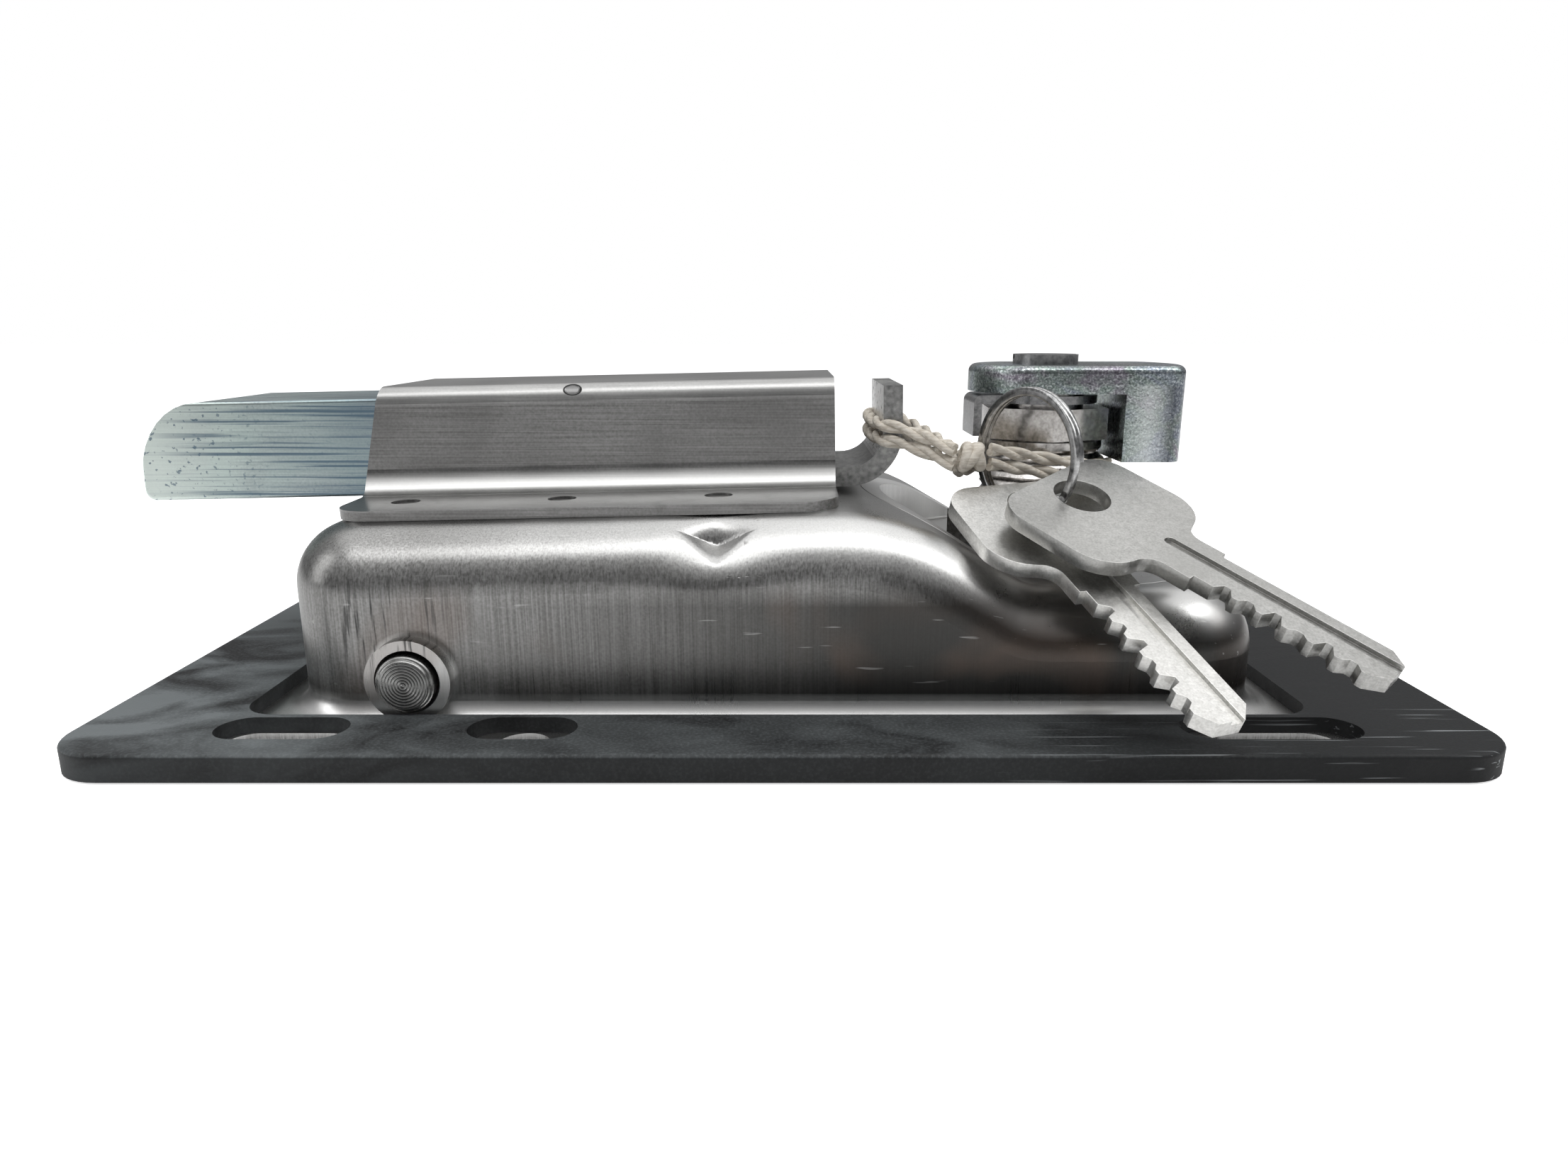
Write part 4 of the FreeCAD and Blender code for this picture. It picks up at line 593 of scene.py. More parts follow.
def own_nodes(material: bpy.types.Material, names: tuple[str, ...]) -> None:
    """Puts one finish on CAD nodes, which keep their shape.

    Args:
        material: The finish.
        names: The nodes.
    """
    for name in names:
        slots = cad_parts[name].data.materials
        slots.clear()
        slots.append(material)
        LOG.info("finish %s on %s", material.name, name)


def placed(name: str, mesh: bpy.types.Mesh, material: bpy.types.Material, body: Body,
           crease: float = 35.0) -> bpy.types.Object:
    """Turns a finished mesh into a piece that rides on a body.

    Args:
        name: Name of the piece.
        mesh: Its mesh, already in place.
        material: Its finish.
        body: The body that it moves with.
        crease: Degrees past which an edge is sharp.

    Returns:
        The piece.
    """
    mesh.name = name
    mesh.materials.clear()
    mesh.materials.append(material)
    for face in mesh.polygons:
        face.use_smooth = True
    mesh.set_sharp_from_angle(angle=math.radians(crease))
    piece = linked(name, mesh)
    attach(piece, body.value)
    LOG.info("piece %s: %d faces", name, len(mesh.polygons))
    return piece


def linked(name: str, data: bpy.types.ID) -> bpy.types.Object:
    """Puts a mesh, curve, lamp or camera into the scene.

    Args:
        name: Name of the object.
        data: What it holds.

    Returns:
        The object.
    """
    holder = bpy.data.objects.new(name, data)
    bpy.context.scene.collection.objects.link(holder)
    return holder


def meshed(form: bmesh.types.BMesh, name: str, place: Matrix | None = None) -> bpy.types.Mesh:
    """Closes a bmesh into a mesh, in metres from millimetres.

    Args:
        form: Shape in millimetres.
        name: Name of the mesh.
        place: Placement in millimetres.

    Returns:
        The mesh in place.
    """
    bmesh.ops.remove_doubles(form, verts=form.verts, dist=1e-4)
    bmesh.ops.recalc_face_normals(form, faces=form.faces)
    mesh = bpy.data.meshes.new(name)
    form.to_mesh(mesh)
    form.free()
    scale = Matrix.Scale(MM, 4)
    mesh.transform(scale @ place if place else scale)
    return mesh


def evaluated(piece: bpy.types.Object) -> bpy.types.Mesh:
    """Reads the mesh of an object with its modifiers applied, and removes the object.

    Args:
        piece: The object.

    Returns:
        Its mesh.
    """
    bpy.context.view_layer.update()
    graph = bpy.context.evaluated_depsgraph_get()
    mesh = bpy.data.meshes.new_from_object(piece.evaluated_get(graph))
    bpy.data.objects.remove(piece)
    return mesh


def rounded(form: bmesh.types.BMesh, geom: list, offset: float, segments: int,
            affect: str = "VERTICES") -> None:
    """Rounds corners or edges of a working shape."""
    bmesh.ops.bevel(form, geom=geom, offset=offset, offset_type="OFFSET", segments=segments, profile=0.5,
                    affect=affect, material=-1)


def facing(spot: Point | Vector, along: Point | Vector, across: Point | Vector) -> Matrix:
    """Placement in millimetres that turns local X along one direction and local Y near another.

    Args:
        spot: Where the origin goes.
        along: Direction of local X.
        across: Direction near local Y.

    Returns:
        The placement.
    """
    x_axis = Vector(along).normalized()
    y_axis = Vector(across)
    y_axis = (y_axis - x_axis * x_axis.dot(y_axis)).normalized()
    columns = (x_axis, y_axis, x_axis.cross(y_axis))
    turned = Matrix([[column[row] for column in columns] for row in range(3)]).to_4x4()
    return Matrix.Translation(Vector(spot)) @ turned


@dataclass
class DishAssembly:
    """Pressed dish with its rubber gasket; sizes in millimetres."""

    steel: DishSteel = DishSteel("dish_steel", (0.40, 0.398, 0.392), (0.17, 0.168, 0.163), 0.26, 0.36,
                                 Brushing.UPRIGHT)
    rubber: Rubber = Rubber("gasket_rubber", (0.011, 0.0115, 0.0122), (0.15, 0.165, 0.170))

    half_width: float = 37.0
    shoulder: float = 9.0
    gauge: float = 1.5
    dent_x: float = -9.1
    dent_tip: float = -3.5
    dent_root: float = 2.6
    dent_end: float = 7.5
    dent_half: float = 5.8
    dent_fall: float = 0.52
    crest_round: float = 0.35
    rim_round: float = 0.5
    sag: float = 1.1
    sag_way: float = -1.0
    sag_across: float = 8.5
    sag_along: float = 5.5
    window: tuple[float, float] = (15.0, 12.0)
    window_margin: float = 5.0
    edge_facing: float = 0.25
    finest: float = 0.75
    passes: int = 8

    def pressed(self) -> bpy.types.Mesh:
        """Copies the dish and presses its two stiffening dents softly into the shoulders.

        Returns:
            The pressed dish, in metres, which keeps the solid's own shading away from the dents.
        """
        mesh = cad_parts["dish"].data.copy()
        shading = mesh.attributes.new("solid_normal", "FLOAT_VECTOR", "CORNER")
        for corner, kept in zip(mesh.corner_normals, shading.data):
            kept.vector = corner.vector
        form = bmesh.new()
        form.from_mesh(mesh)
        low = PLATEAU - self.shoulder - self.window[1] + self.shoulder * math.pi / 4
        aside = self.half_width - self.shoulder - self.window_margin
        cuts = [((self.dent_x + end, 0.0, 0.0), (1.0, 0.0, 0.0)) for end in (-self.window[0], self.window[0])]
        cuts += [((0.0, side * aside, 0.0), (0.0, 1.0, 0.0)) for side in (-1, 1)]
        for spot, way in (*cuts, ((0.0, 0.0, low), (0.0, 0.0, 1.0))):
            bmesh.ops.bisect_plane(form, geom=form.verts[:] + form.edges[:] + form.faces[:], dist=1e-7,
                                   plane_co=Vector(spot) * MM, plane_no=way)
        bmesh.ops.triangulate(form, faces=[f for f in form.faces if len(f.verts) > 3])
        zone = [v for v in form.verts if self.fade(v.co / MM) > 0.0]
        bmesh.ops.remove_doubles(form, verts=zone, dist=1e-6)
        for _ in range(self.passes):
            edges = [e for e in form.edges if e.calc_length() > self.finest * MM
                     and self.fade((e.verts[0].co + e.verts[1].co) / (2 * MM)) > 0.0]
            bmesh.ops.subdivide_edges(form, edges=edges, cuts=1)
            bmesh.ops.triangulate(form, faces=[f for f in form.faces if len(f.verts) > 3])
        form.normal_update()
        moved = {vert: self.pushed(vert.co / MM, vert.normal) * MM for vert in form.verts}
        for vert, spot in moved.items():
            vert.co = spot
        form.to_mesh(mesh)
        form.free()
        return mesh

    def shaded(self, mesh: bpy.types.Mesh) -> None:
        """Gives the solid's shading to the corners outside the pressed zone.

        Args:
            mesh: The pressed dish.
        """
        kept = mesh.attributes["solid_normal"].data
        own = [corner.vector.copy() for corner in mesh.corner_normals]
        spots = [mesh.vertices[loop.vertex_index].co for loop in mesh.loops]
        inside = [self.fade(spot / MM) > 0.0 for spot in spots]
        normals = [mine if near else far.vector.copy() for mine, far, near in zip(own, kept, inside)]
        mesh.normals_split_custom_set(normals)

    def on_shoulder(self, spot: Vector) -> tuple[float, float, float, float]:
        """Reads a spot against the rounded shoulder.

        Args:
            spot: Spot in millimetres.

        Returns:
            Way along the shoulder's curve from its middle, distance from the curve's centre line, and the
            outward direction across and up.
        """
        across = abs(spot.y) - (self.half_width - self.shoulder)
        above = spot.z - (PLATEAU + spot.x * TILT - self.shoulder)
        quarter = self.shoulder * math.pi / 4
        if across <= 0.0:
            return quarter - across, above, 0.0, 1.0
        if above <= 0.0:
            return above - quarter, across, 1.0, 0.0
        angle = math.atan2(above, across)
        return self.shoulder * angle - quarter, math.hypot(across, above), math.cos(angle), math.sin(angle)

    def fade(self, spot: Vector) -> float:
        """Tells how far a spot belongs to the pressed zone.

        Args:
            spot: Spot in millimetres.

        Returns:
            One in the middle of the zone, nothing outside it.
        """
        way, away, _, _ = self.on_shoulder(spot)
        if away < self.shoulder / 3:
            return 0.0
        parts = [((spot.x - self.dent_x) / self.window[0]) ** 2, (way / self.window[1]) ** 2]
        return max(0.0, 1.0 - parts[0]) ** 2 * max(0.0, 1.0 - parts[1]) ** 2

    def pushed(self, spot: Vector, normal: Vector) -> Vector:
        """Where a spot of the sheet lies once the dents are pressed.

        Args:
            spot: Spot in millimetres.
            normal: Its normal, which tells the outer face from the inner.

        Returns:
            The spot pressed inwards, in millimetres.
        """
        share = self.fade(spot)
        if share <= 0.0:
            return spot
        way, away, out_y, out_z = self.on_shoulder(spot)
        side = math.copysign(1.0, spot.y)
        outward = normal.y * side * out_y + normal.z * out_z
        if abs(outward) < self.edge_facing:
            return spot
        face = self.shoulder if outward > 0.0 else self.shoulder - self.gauge
        aside = spot.x - self.dent_x
        reach = min(1.0, max(0.0, (way - self.dent_tip) / (self.dent_root - self.dent_tip)))
        inside = self.dent_half * reach - math.sqrt(aside * aside + self.crest_round ** 2)
        depth = self.dent_fall * (inside + math.sqrt(inside * inside + self.rim_round ** 2)) / 2
        depth *= min(1.0, max(0.0, (self.dent_end - way) / (self.dent_end - self.dent_root)))
        along = (way - self.sag_way) / self.sag_along
        depth += self.sag * math.exp(-(aside / self.sag_across) ** 2 - along ** 2)
        back = away - (face - depth * share)
        return spot - Vector((0.0, side * out_y * back, out_z * back))

    def dress(self) -> None:
        """Puts the steel on the eased dish and the rubber on the gasket."""
        dish = placed("pressed_dish", self.pressed(), self.steel.build(), Body.FRAME)
        self.shaded(dish.data)
        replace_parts(dish, "dish")
        own_nodes(self.rubber.build(), ("gasket",))


@dataclass
class BoltAssembly:
    """Hat-section channel, plated bolt, tail strip and spring."""

    satin: FoldedSteel = FoldedSteel("channel_steel", (0.30, 0.298, 0.294), (0.15, 0.148, 0.145), 0.28, 0.38,
                                     Brushing.ALONG_X, grain_depth=0.002)
    zinc: Plating = Plating("bolt_zinc", (0.62, 0.69, 0.67), (0.33, 0.385, 0.39), 0.28, 0.42,
                            Brushing.ALONG_X)
    strip: ShearedSteel = ShearedSteel("tail_steel", (0.42, 0.42, 0.41), (0.15, 0.15, 0.15), 0.32, 0.50,
                                       grain=1.3, grain_depth=0.03)
    wire: Metal = Metal("spring_wire", (0.44, 0.44, 0.45), (0.20, 0.20, 0.21), 0.25, 0.40)
    spring_way: Point = (1.0, 0.0, TILT)
    spring_seat: Point = (6.6, 0.0, 39.8)
    spring_length: float = 36.7
    travel: float = 9.85

    def dress(self) -> None:
        """Puts the finishes on the channel, bolt, tail, rivets and spring."""
        own_nodes(self.satin.build(), ("bolt_channel",))
        own_nodes(self.zinc.build(), ("slam_bolt",))
        own_nodes(self.strip.build(), ("bolt_tail", "tail_rivet_near", "tail_rivet_far"))
        coil = placed("coil_spring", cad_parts["bolt_spring"].data.copy(), self.wire.build(), Body.FRAME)
        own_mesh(coil)
        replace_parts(coil, "bolt_spring")


@dataclass
class PaddleAssembly:
    """Paddle, its lever and the pivot pin."""

    steel: Metal = Metal("paddle_steel", (0.44, 0.44, 0.435), (0.24, 0.24, 0.235), 0.24, 0.36,
                         Brushing.ALONG_X)
    lever: Metal = Metal("lever_steel", (0.40, 0.40, 0.40), (0.18, 0.18, 0.18), 0.32, 0.46)
    turned: TurnedSteel = TurnedSteel("pin_steel", (0.46, 0.46, 0.45), (0.24, 0.24, 0.235), 0.24, 0.34,
                                      Brushing.ACROSS_PIN, grain_depth=0.002)

    def dress(self) -> None:
        """Puts the finishes on the paddle, lever and pin."""
        own_nodes(self.steel.build(), ("paddle",))
        own_nodes(self.lever.build(), ("lever_arm",))
        own_nodes(self.turned.build(), ("pivot_pin",))


@dataclass
class LockAssembly:
    """Threaded lock barrel with its washer, nut, hexagon and cam."""

    chrome: Metal = Metal("barrel_chrome", (0.64, 0.62, 0.60), (0.30, 0.285, 0.27), 0.18, 0.28,
                          line_depth=0.001, grain_depth=0.001, mottle=0.15)
    plate: Metal = Metal("washer_zinc", (0.42, 0.42, 0.42), (0.18, 0.18, 0.185), 0.24, 0.40)
    cast: CastMetal = CastMetal("cam_casting", (0.30, 0.32, 0.325), (0.07, 0.075, 0.08), 0.20, 0.34,
                                grain=2.2, grain_depth=0.02, speckle=0.7)
    brass: Metal = Metal("wafer_brass", (0.72, 0.58, 0.32), (0.42, 0.32, 0.16), 0.24, 0.40)

    def dress(self) -> None:
        """Puts the finishes on the lock's pieces."""
        own_nodes(self.chrome.build(), ("lock_body", "lock_plug", "lock_nut", "cam_hexagon"))
        own_nodes(self.plate.build(), ("lock_washer", "cam_tab_washer", "cam_screw"))
        own_nodes(self.cast.build(), ("cam",))
        own_nodes(self.brass.build(), ("plug_wafers",))


@dataclass
class KeySet:
    """Two cut keys on a split ring; sizes in millimetres."""

    gauge: float = 2.2
    hole: float = 8.2
    bow_end: float = -6.1
    bow_length: float = 20.2
    bow_half: float = 12.8
    bow_slope: float = 1.5
    bow_corner: float = 5.0
    neck_half: float = 4.8
    neck_length: float = 6.0
    neck_round: float = 2.2
    blade_half: float = 3.8
    blade_length: float = 31.4
    cut_pitch: float = 3.4
    cut_depths: tuple[float, ...] = (0.95, 1.7, 0.75, 1.9, 1.1, 1.5)
    groove_width: float = 1.8
    groove_depth: float = 0.6
    groove_start: float = 1.0
    groove_overrun: float = 3.0
    edge: float = 0.25
    edge_angle: float = 40.0
    upper_lie: tuple[Point, Point, Point] = ((42.66, -26.49, 30.75), (0.671, -0.647, -0.362),
                                             (0.732, 0.655, 0.187))
    lower_lie: tuple[Point, Point, Point] = ((37.10, -22.13, 28.59), (0.32, -0.856, -0.406),
                                             (0.94, 0.339, 0.026))
    ring_foot: Point = (36.67, -21.38, 27.45)
    ring_across: Point = (0.535, -0.845, 0.0)
    ring_rise: Point = (-0.063, 0.099, 0.993)
    ring_line: float = 9.3
    coil_depth: float = 1.3
    coil_width: float = 0.78
    coil_round: float = 0.22
    coil_turns: float = 1.9
    coil_steps: int = 150
    nickel: Metal = Metal("key_nickel", (0.78, 0.775, 0.755), (0.54, 0.535, 0.515), 0.30, 0.42,
                          grain=3.4, grain_depth=0.012, speckle=0.6)
    # painted shade: a darker copy of the key nickel, for the upper key
    painted_shade: Metal = Metal("key_nickel_painted_shade", (0.52, 0.517, 0.503), (0.34, 0.338, 0.325), 0.30, 0.42,
                        grain=3.4, grain_depth=0.012, speckle=0.6)
    bright: Metal = Metal("ring_steel", (0.60, 0.60, 0.60), (0.26, 0.26, 0.26), 0.12, 0.24,
                          line_depth=0.001, grain_depth=0.002)

    def blank(self) -> list[tuple[float, float]]:
        """Outline of the key, hole at the origin and tip along X.

        Returns:
            Corner points in millimetres, anticlockwise.
        """
        bow = self.bow_end + self.bow_length
        tip = bow + self.blade_length
        shoulder = bow + self.neck_length
        blade = self.blade_half
        points = [(self.bow_end, -self.bow_half), (bow - self.bow_slope, -self.bow_half),
                  (bow, -self.neck_half), (shoulder, -self.neck_half), (shoulder, -blade)]
        quarter = self.cut_pitch / 4
        for number in reversed(range(len(self.cut_depths))):
            right = tip - self.gauge - self.cut_pitch * number - quarter
            floor = -blade + self.cut_depths[number]
            points += [(right - quarter * 3, -blade), (right - quarter * 2, floor), (right - quarter, floor),
                       (right, -blade)]
        points += [(tip - self.gauge, -blade), (tip, -blade / 2), (tip, blade / 2), (tip - self.gauge, blade),
                   (shoulder, blade), (shoulder, self.neck_half), (bow, self.neck_half),
                   (bow - self.bow_slope, self.bow_half), (self.bow_end, self.bow_half)]
        return points

    def key(self, name: str, place: Matrix, body: Body, material: bpy.types.Material) -> bpy.types.Object:
        """Cuts one key.

        Args:
            name: Name of the piece.
            place: Placement in millimetres, its hole at the origin.
            body: Body that it rides on.
            material: Its finish.

        Returns:
            The key.
        """
        bow = self.bow_end + self.bow_length
        form = bmesh.new()
        form.faces.new([form.verts.new((x, y, -self.gauge / 2)) for x, y in self.blank()])
        rounded(form, [v for v in form.verts if abs(v.co.y) > self.bow_half - 0.01], self.bow_corner, 7)
        rounded(form, [v for v in form.verts if abs(v.co.x - bow) < 0.01], self.neck_round, 5)
        raised = bmesh.ops.extrude_face_region(form, geom=form.faces[:])
        moved = [v for v in raised["geom"] if isinstance(v, bmesh.types.BMVert)]
        bmesh.ops.translate(form, verts=moved, vec=(0.0, 0.0, self.gauge))
        key = linked(name, meshed(form, name))
        hole = bmesh.new()
        bmesh.ops.create_cone(hole, cap_ends=True, segments=48, radius1=self.hole / 2, radius2=self.hole / 2,
                              depth=self.gauge * 3)
        slot = bmesh.new()
        length = self.groove_start + self.blade_length + self.groove_overrun
        size = (length, self.groove_width, self.groove_depth * 2)
        middle = (bow - self.groove_start + length / 2, self.groove_width / 2, self.gauge / 2)
        bmesh.ops.create_cube(slot, size=1.0, matrix=Matrix.LocRotScale(Vector(middle), None, Vector(size)))
        ends = [e for e in slot.edges if abs(e.verts[0].co.z - e.verts[1].co.z) > self.groove_depth]
        rounded(slot, ends, self.groove_width * 0.45, 6, "EDGES")
        tools = [linked(f"{name}_{part}", meshed(shape, f"{name}_{part}"))
                 for part, shape in (("hole", hole), ("slot", slot))]
        for tool in tools:
            cut = key.modifiers.new(tool.name, "BOOLEAN")
            cut.object = tool
            cut.operation = "DIFFERENCE"
            cut.solver = "EXACT"
        round_off = key.modifiers.new("edges", "BEVEL")
        round_off.width = self.edge * MM
        round_off.segments = 2
        round_off.limit_method = "ANGLE"
        round_off.angle_limit = math.radians(self.edge_angle)
        mesh = evaluated(key)
        for tool in tools:
            bpy.data.objects.remove(tool)
        mesh.transform(Matrix.Scale(MM, 4) @ place @ Matrix.Scale(1 / MM, 4))
        piece = placed(name, mesh, material, body)
        up = (place.to_3x3() @ Vector((0.0, 0.0, 1.0))).normalized()
        for face in mesh.polygons:
            face.use_smooth = abs(face.normal.dot(up)) < 0.999
        return piece

    def ring(self, place: Matrix, material: bpy.types.Material) -> bpy.types.Object:
        """Winds the split ring of two flat coils.

        Args:
            place: Placement in millimetres, local Z along its axis.
            material: Its finish.

        Returns:
            The ring.
        """
        form = bmesh.new()
        upright = Matrix.Rotation(math.radians(90.0), 4, "X")
        size = Vector((self.coil_depth, self.coil_width, 1.0))
        start = Matrix.LocRotScale(Vector((self.ring_line, 0.0, -self.coil_width * 0.95)), None, None)
        bmesh.ops.create_grid(form, x_segments=1, y_segments=1, size=0.5,
                              matrix=start @ upright @ Matrix.LocRotScale(None, None, size))
        rounded(form, form.verts[:], self.coil_round, 3)
        bmesh.ops.delete(form, geom=form.faces[:], context="FACES_ONLY")
        bmesh.ops.spin(form, geom=form.verts[:] + form.edges[:], cent=(0, 0, 0), axis=(0, 0, 1),
                       angle=math.tau * self.coil_turns, steps=self.coil_steps,
                       dvec=(0.0, 0.0, self.coil_width * self.coil_turns / self.coil_steps))
        bmesh.ops.holes_fill(form, edges=[e for e in form.edges if e.is_boundary])
        return placed("split_ring", meshed(form, "split_ring", place), material, Body.KEYS)

    def build(self) -> None:
        """Makes the keys and the ring and lets them stand for their CAD nodes."""
        upper, lower = facing(*self.upper_lie), facing(*self.lower_lie)
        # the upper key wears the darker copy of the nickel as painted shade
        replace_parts(self.key("cut_key_upper", upper, Body.KEYS, self.painted_shade.build()), "key_upper")
        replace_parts(self.key("cut_key_lower", lower, Body.KEYS, self.nickel.build()), "key_lower")
        rise = Vector(self.ring_rise)
        centre = Vector(self.ring_foot) + rise.normalized() * self.ring_line
        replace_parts(self.ring(facing(centre, self.ring_across, rise), self.bright.build()), "key_ring")


@dataclass
class TwineTie:
    """Twine that ties the ring to the lock and the bolt's tail; sizes in millimetres."""

    gauge: float = 2.0
    ply_off: float = 0.22
    ply_radius: float = 0.30
    pitch: float = 11.0
    step: float = 0.4
    crease: float = 60.0
    knot: Point = (28.6, -16.8, 36.0)
    knot_core: Point = (1.7, 1.5, 1.6)
    wrap_radius: float = 0.85
    wraps: tuple[Point, ...] = ((-1.0, 12.0, 1.55), (0.95, -16.0, 1.45), (0.0, 38.0, 1.75))
    fibre: Fibre = Fibre("twine_fibre", (0.74, 0.70, 0.63), (0.50, 0.45, 0.38))

    LOCK_WAY = ((31.35, -16.8), (39.49, -11.69), (47.5, -10.87), (53.87, -4.5), (53.87, 4.5), (47.5, 10.87),
                (38.5, 10.87), (30.93, 5.0), (28.42, -4.85), (29.05, -13.4))
    TAB_WAY = ((25.85, -17.92), (19.5, -12.36), (14.52, -12.36), (14.52, 12.36), (20.6, 12.36),
               (25.85, -15.68))
    ROUTES = {
        "twine_lock_upper": (LOCK_WAY, (37.12, 35.4, 33.98, 33.15, 33.15, 33.15, 33.15, 33.15, 34.18, 37.12)),
        "twine_lock_lower": (LOCK_WAY, (34.88, 33.2, 31.81, 31.0, 31.0, 31.0, 31.0, 31.0, 32.01, 34.88)),
        "twine_tab_upper": (TAB_WAY, (37.12, 39.8, 40.4, 40.4, 40.1, 37.12)),
        "twine_tab_lower": (TAB_WAY, (34.88, 37.5, 38.1, 38.1, 37.8, 34.88)),
    }

    def route(self, way: tuple[tuple[float, float], ...], heights: tuple[float, ...]) -> list[Vector]:
        """Points read from the smooth line through a route.

        Args:
            way: X and Y of the control points in millimetres.
            heights: Their Z.

        Returns:
            Points in metres, as the curve's own mesh gives them.
        """
        curve = bpy.data.curves.new("route", "CURVE")
        curve.dimensions = "3D"
        curve.resolution_u = 24
        line = curve.splines.new("NURBS")
        line.points.add(len(way) - 1)
        for (x, y), z, control in zip(way, heights, line.points):
            control.co = (x * MM, y * MM, z * MM, 1.0)
        line.order_u = 3
        line.use_endpoint_u = True
        mesh = evaluated(linked("route", curve))
        read = [v.co.copy() for v in mesh.vertices]
        bpy.data.meshes.remove(mesh)
        bpy.data.curves.remove(curve)
        return read

    def strand(self, name: str, path: list[Vector]) -> bpy.types.Mesh:
        """Twists two plies round a line.

        Args:
            name: Name of the mesh.
            path: Points of the line in metres.

        Returns:
            Mesh of both plies.
        """
        even = self.evenly(path)
        side = Vector((0.0, 0.0, 1.0))
        turn = 0.0
        plies: tuple[list[Vector], list[Vector]] = ([], [])
        for number, spot in enumerate(even):
            ahead = (even[min(number + 1, len(even) - 1)] - even[max(number - 1, 0)]).normalized()
            side = (side - ahead * side.dot(ahead)).normalized()
            other = ahead.cross(side)
            if number:
                turn += (spot - even[number - 1]).length / (self.pitch * MM) * math.tau
            for ply, phase in zip(plies, (0.0, math.pi)):
                away = side * math.cos(turn + phase) + other * math.sin(turn + phase)
                ply.append(spot + away * self.gauge * self.ply_off * MM)
        curve = bpy.data.curves.new(name, "CURVE")
        curve.dimensions = "3D"
        curve.bevel_depth = self.gauge * self.ply_radius * MM
        curve.bevel_resolution = 3
        curve.use_fill_caps = True
        for ply in plies:
            line = curve.splines.new("POLY")
            line.points.add(len(ply) - 1)
            for spot, control in zip(ply, line.points):
                control.co = (*spot, 1.0)
        return evaluated(linked(name, curve))

    def evenly(self, path: list[Vector]) -> list[Vector]:
        """Reads a line again at equal steps.

        Args:
            path: Points of the line in metres.

        Returns:
            Points at equal steps along it.
        """
        lengths = [(b - a).length for a, b in zip(path, path[1:])]
        count = max(2, round(sum(lengths) / (self.step * MM)))
        pace = sum(lengths) / count
        even = [path[0]]
        reached = 0.0
        index = 0
        for number in range(1, count):
            goal = pace * number
            while reached + lengths[index] < goal:
                reached += lengths[index]
                index += 1
            even.append(path[index].lerp(path[index + 1], (goal - reached) / lengths[index]))
        return even + [path[-1]]

    def knotted(self, material: bpy.types.Material) -> bpy.types.Object:
        """Makes the knot: three wraps and a core.

        Args:
            material: Its finish.

        Returns:
            The knot.
        """
        form = bmesh.new()
        core = Matrix.LocRotScale(Vector(self.knot), None, Vector(self.knot_core))
        bmesh.ops.create_icosphere(form, subdivisions=3, radius=1.0, matrix=core)
        for shift, tilt, wide in self.wraps:
            wrap = bmesh.new()
            start = Matrix.Translation((wide, 0.0, 0.0)) @ Matrix.Rotation(math.radians(90.0), 4, "X")
            bmesh.ops.create_circle(wrap, cap_ends=False, segments=14, radius=self.wrap_radius, matrix=start)
            bmesh.ops.spin(wrap, geom=wrap.verts[:] + wrap.edges[:], cent=(0, 0, 0), axis=(0, 0, 1),
                           angle=math.tau, steps=40, use_merge=True)
            place = (Matrix.Translation(Vector(self.knot) + Vector((shift, 0.0, 0.0)))
                     @ Matrix.Rotation(math.radians(90.0 + tilt), 4, "Y"))
            bmesh.ops.transform(wrap, matrix=place, verts=wrap.verts[:])
            scratch = bpy.data.meshes.new("wrap")
            wrap.to_mesh(scratch)
            wrap.free()
            form.from_mesh(scratch)
            bpy.data.meshes.remove(scratch)
        return placed("knot", meshed(form, "knot"), material, Body.FRAME, self.crease)

    def build(self) -> None:
        material = self.fibre.build()
        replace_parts(self.knotted(material), "twine_knot")
        for node, (way, heights) in self.ROUTES.items():
            path = self.route(way, heights)
            mesh = self.strand(node, path)
            piece = placed(node.replace("twine", "strand"), mesh, material, Body.FRAME, self.crease)
            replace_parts(piece, node)


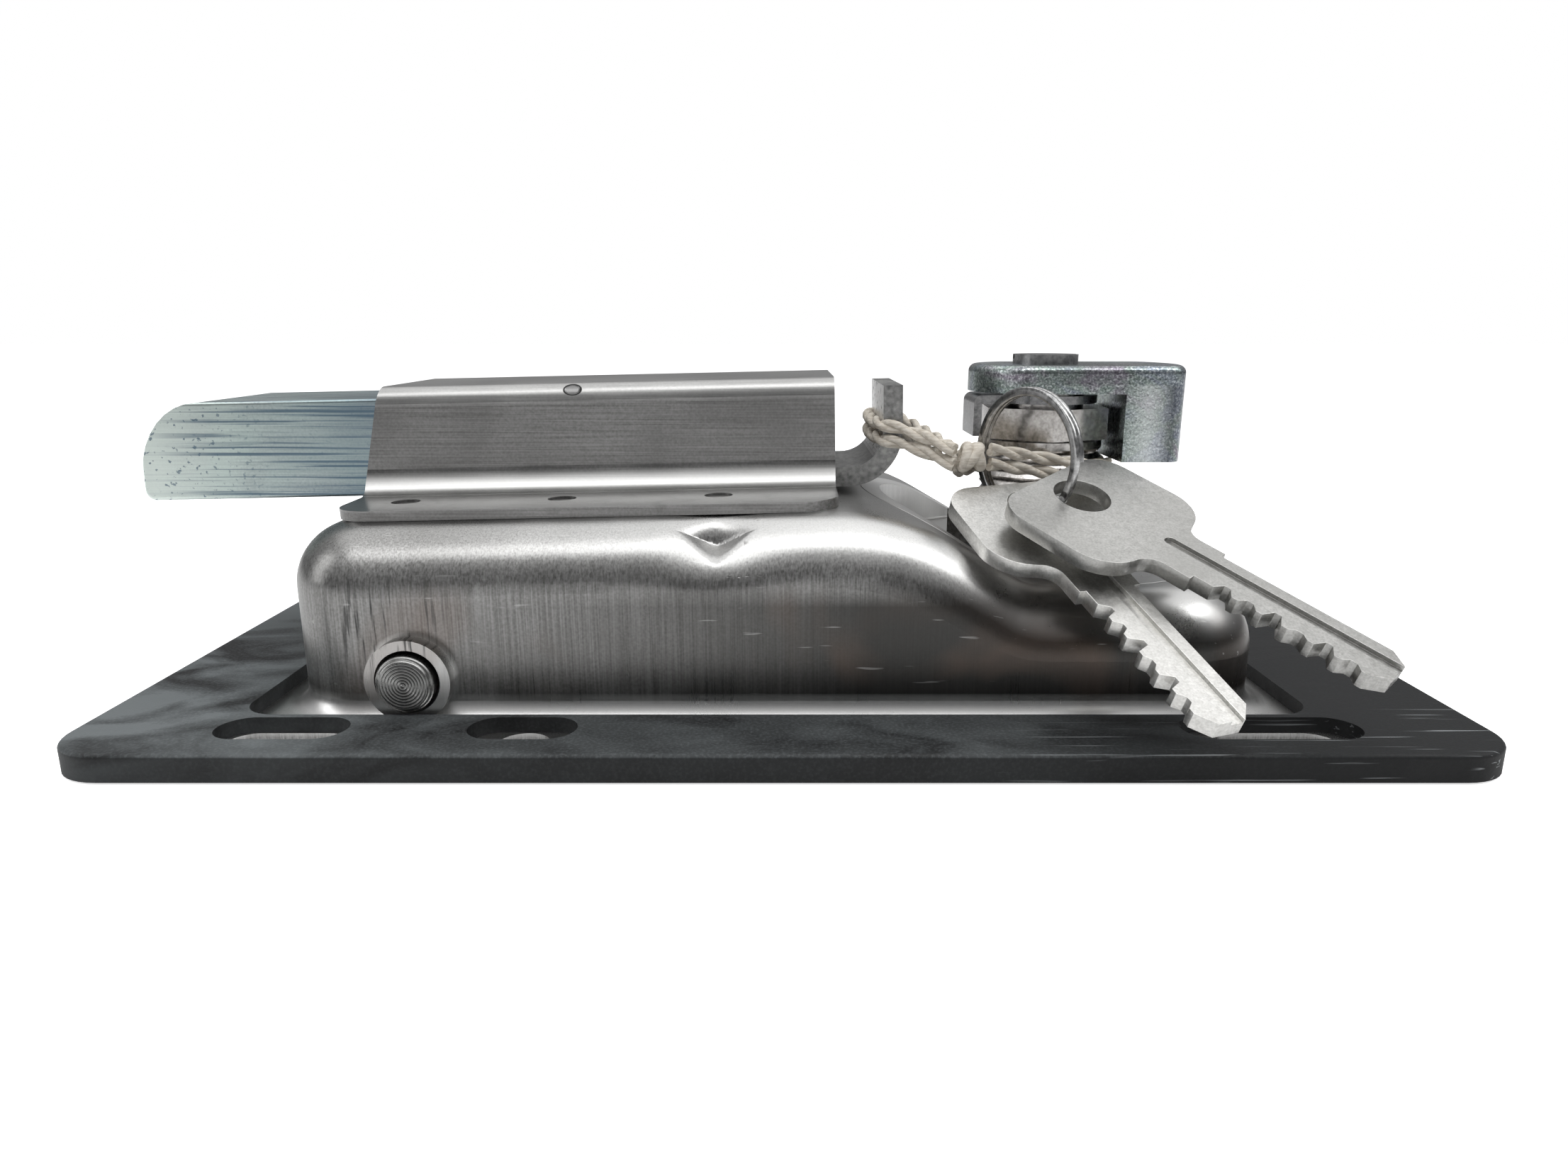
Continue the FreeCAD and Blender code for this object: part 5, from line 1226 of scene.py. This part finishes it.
@dataclass
class Studio:
    """Pale floor, soft lamps and the camera at the photograph's angle; metres."""

    floor_reach: float = 6.0
    floor_drop: float = 0.0003
    floor_light: Rgb = (0.92, 0.92, 0.92)
    floor_dark: Rgb = (0.90, 0.90, 0.90)
    lens: float = 23.598
    sensor: float = 36.0
    eye: Point = (0.0003, -0.172, 0.055224)
    pitch: float = 14.333
    clip: Span = (0.005, 20.0)
    glow: float = 0.72
    mirrored: float = 0.05
    sky_light: float = 0.7
    sky_mirrored: float = 0.14

    LAMPS = {
        "overhead": ((0.0, 0.15, 0.75), (0.0, 0.0, 0.0), (1.4, 0.9), 3.2),
        "front_high": ((0.05, -0.24, 0.62), (0.0, 0.0, 0.02), (1.0, 0.22), 1.9),
        "left": ((-0.75, -0.15, 0.30), (0.0, 0.0, 0.02), (0.25, 0.5), 0.7),
        "right": ((0.55, -0.10, 0.50), (0.0, 0.0, 0.02), (0.3, 0.4), 0.8),
    }
    SKY = ((0.0, (0.05, 0.05, 0.055, 1.0)), (0.25, (0.20, 0.20, 0.205, 1.0)), (0.85, (0.80, 0.80, 0.80, 1.0)))

    def floor(self) -> None:
        """Lays the floor, which catches a shadow."""
        form = bmesh.new()
        bmesh.ops.create_grid(form, x_segments=1, y_segments=1, size=self.floor_reach / 2)
        mesh = bpy.data.meshes.new("floor")
        form.to_mesh(mesh)
        form.free()
        graph = Graph("floor_white")
        graph.fixed(Roughness=0.9, Specular_IOR_Level=0.1)
        graph.color = graph.blend(graph.noise(0.02, 1.0), self.floor_dark, self.floor_light)
        mesh.materials.append(graph.finish())
        strength = graph.times(graph.seen(self.mirrored), self.glow)
        glow = graph.add("ShaderNodeEmission", {"Color": WHITE, "Strength": strength})
        total = graph.add("ShaderNodeAddShader", {0: graph.shader.outputs[0], 1: glow.outputs[0]})
        out = next(n for n in graph.tree.nodes if n.type == "OUTPUT_MATERIAL")
        graph.tree.links.new(total.outputs[0], out.inputs["Surface"])
        plane = linked("floor", mesh)
        plane.location.z = -self.floor_drop

    def lamp(self, name: str, spot: Point, aim: Point, size: tuple[float, float], power: float) -> None:
        """Hangs one soft rectangular lamp.

        Args:
            name: Name of the lamp.
            spot: Its place.
            aim: Point that it faces.
            size: Its two sides.
            power: Its power in watts.
        """
        light = bpy.data.lights.new(name, "AREA")
        light.shape = "RECTANGLE"
        light.size, light.size_y = size
        light.energy = power
        holder = linked(name, light)
        holder.location = spot
        holder.rotation_euler = (Vector(aim) - Vector(spot)).to_track_quat("-Z", "Y").to_euler()

    def sky(self) -> None:
        """White to the camera and in part to metal; for the rest bright above and dim low down."""
        world = bpy.data.worlds.new("studio")
        world.use_nodes = True
        bpy.context.scene.world = world
        nodes = Nodes(world.node_tree)
        nodes.tree.nodes.clear()
        way = nodes.parts(nodes.add("ShaderNodeTexCoord", {}).outputs["Generated"])
        rise = nodes.add("ShaderNodeValToRGB", {0: way[2]})
        stops = rise.color_ramp.elements
        stops.new(self.SKY[1][0])
        for stop, (height, tone) in zip(stops, self.SKY):
            stop.position, stop.color = height, tone
        dim = nodes.add("ShaderNodeBackground", {"Color": rise.outputs[0], "Strength": self.sky_light})
        plain = nodes.add("ShaderNodeBackground", {"Color": WHITE})
        mixed = {0: nodes.seen(self.sky_mirrored), 1: dim.outputs[0], 2: plain.outputs[0]}
        nodes.add("ShaderNodeOutputWorld", {0: nodes.add("ShaderNodeMixShader", mixed).outputs[0]})

    def camera(self) -> None:
        """Sets the camera."""
        data = bpy.data.cameras.new("camera")
        data.sensor_width = self.sensor
        data.lens = self.lens
        data.clip_start, data.clip_end = self.clip
        holder = linked("camera", data)
        holder.location = self.eye
        holder.rotation_euler = (math.radians(90.0 - self.pitch), 0.0, 0.0)
        bpy.context.scene.camera = holder

    def build(self) -> None:
        """Sets up the whole studio."""
        bpy.context.scene.view_settings.view_transform = "Standard"
        self.floor()
        self.sky()
        for name, lamp in self.LAMPS.items():
            self.lamp(name, *lamp)
        self.camera()


def main() -> None:
    """Dresses the latch piece by piece."""
    logging.basicConfig(level=logging.INFO, format="%(message)s")
    for assembly in (DishAssembly(), BoltAssembly(), PaddleAssembly(), LockAssembly()):
        assembly.dress()
    KeySet().build()
    TwineTie().build()
    Studio().build()


if __name__ == "__main__":
    main()
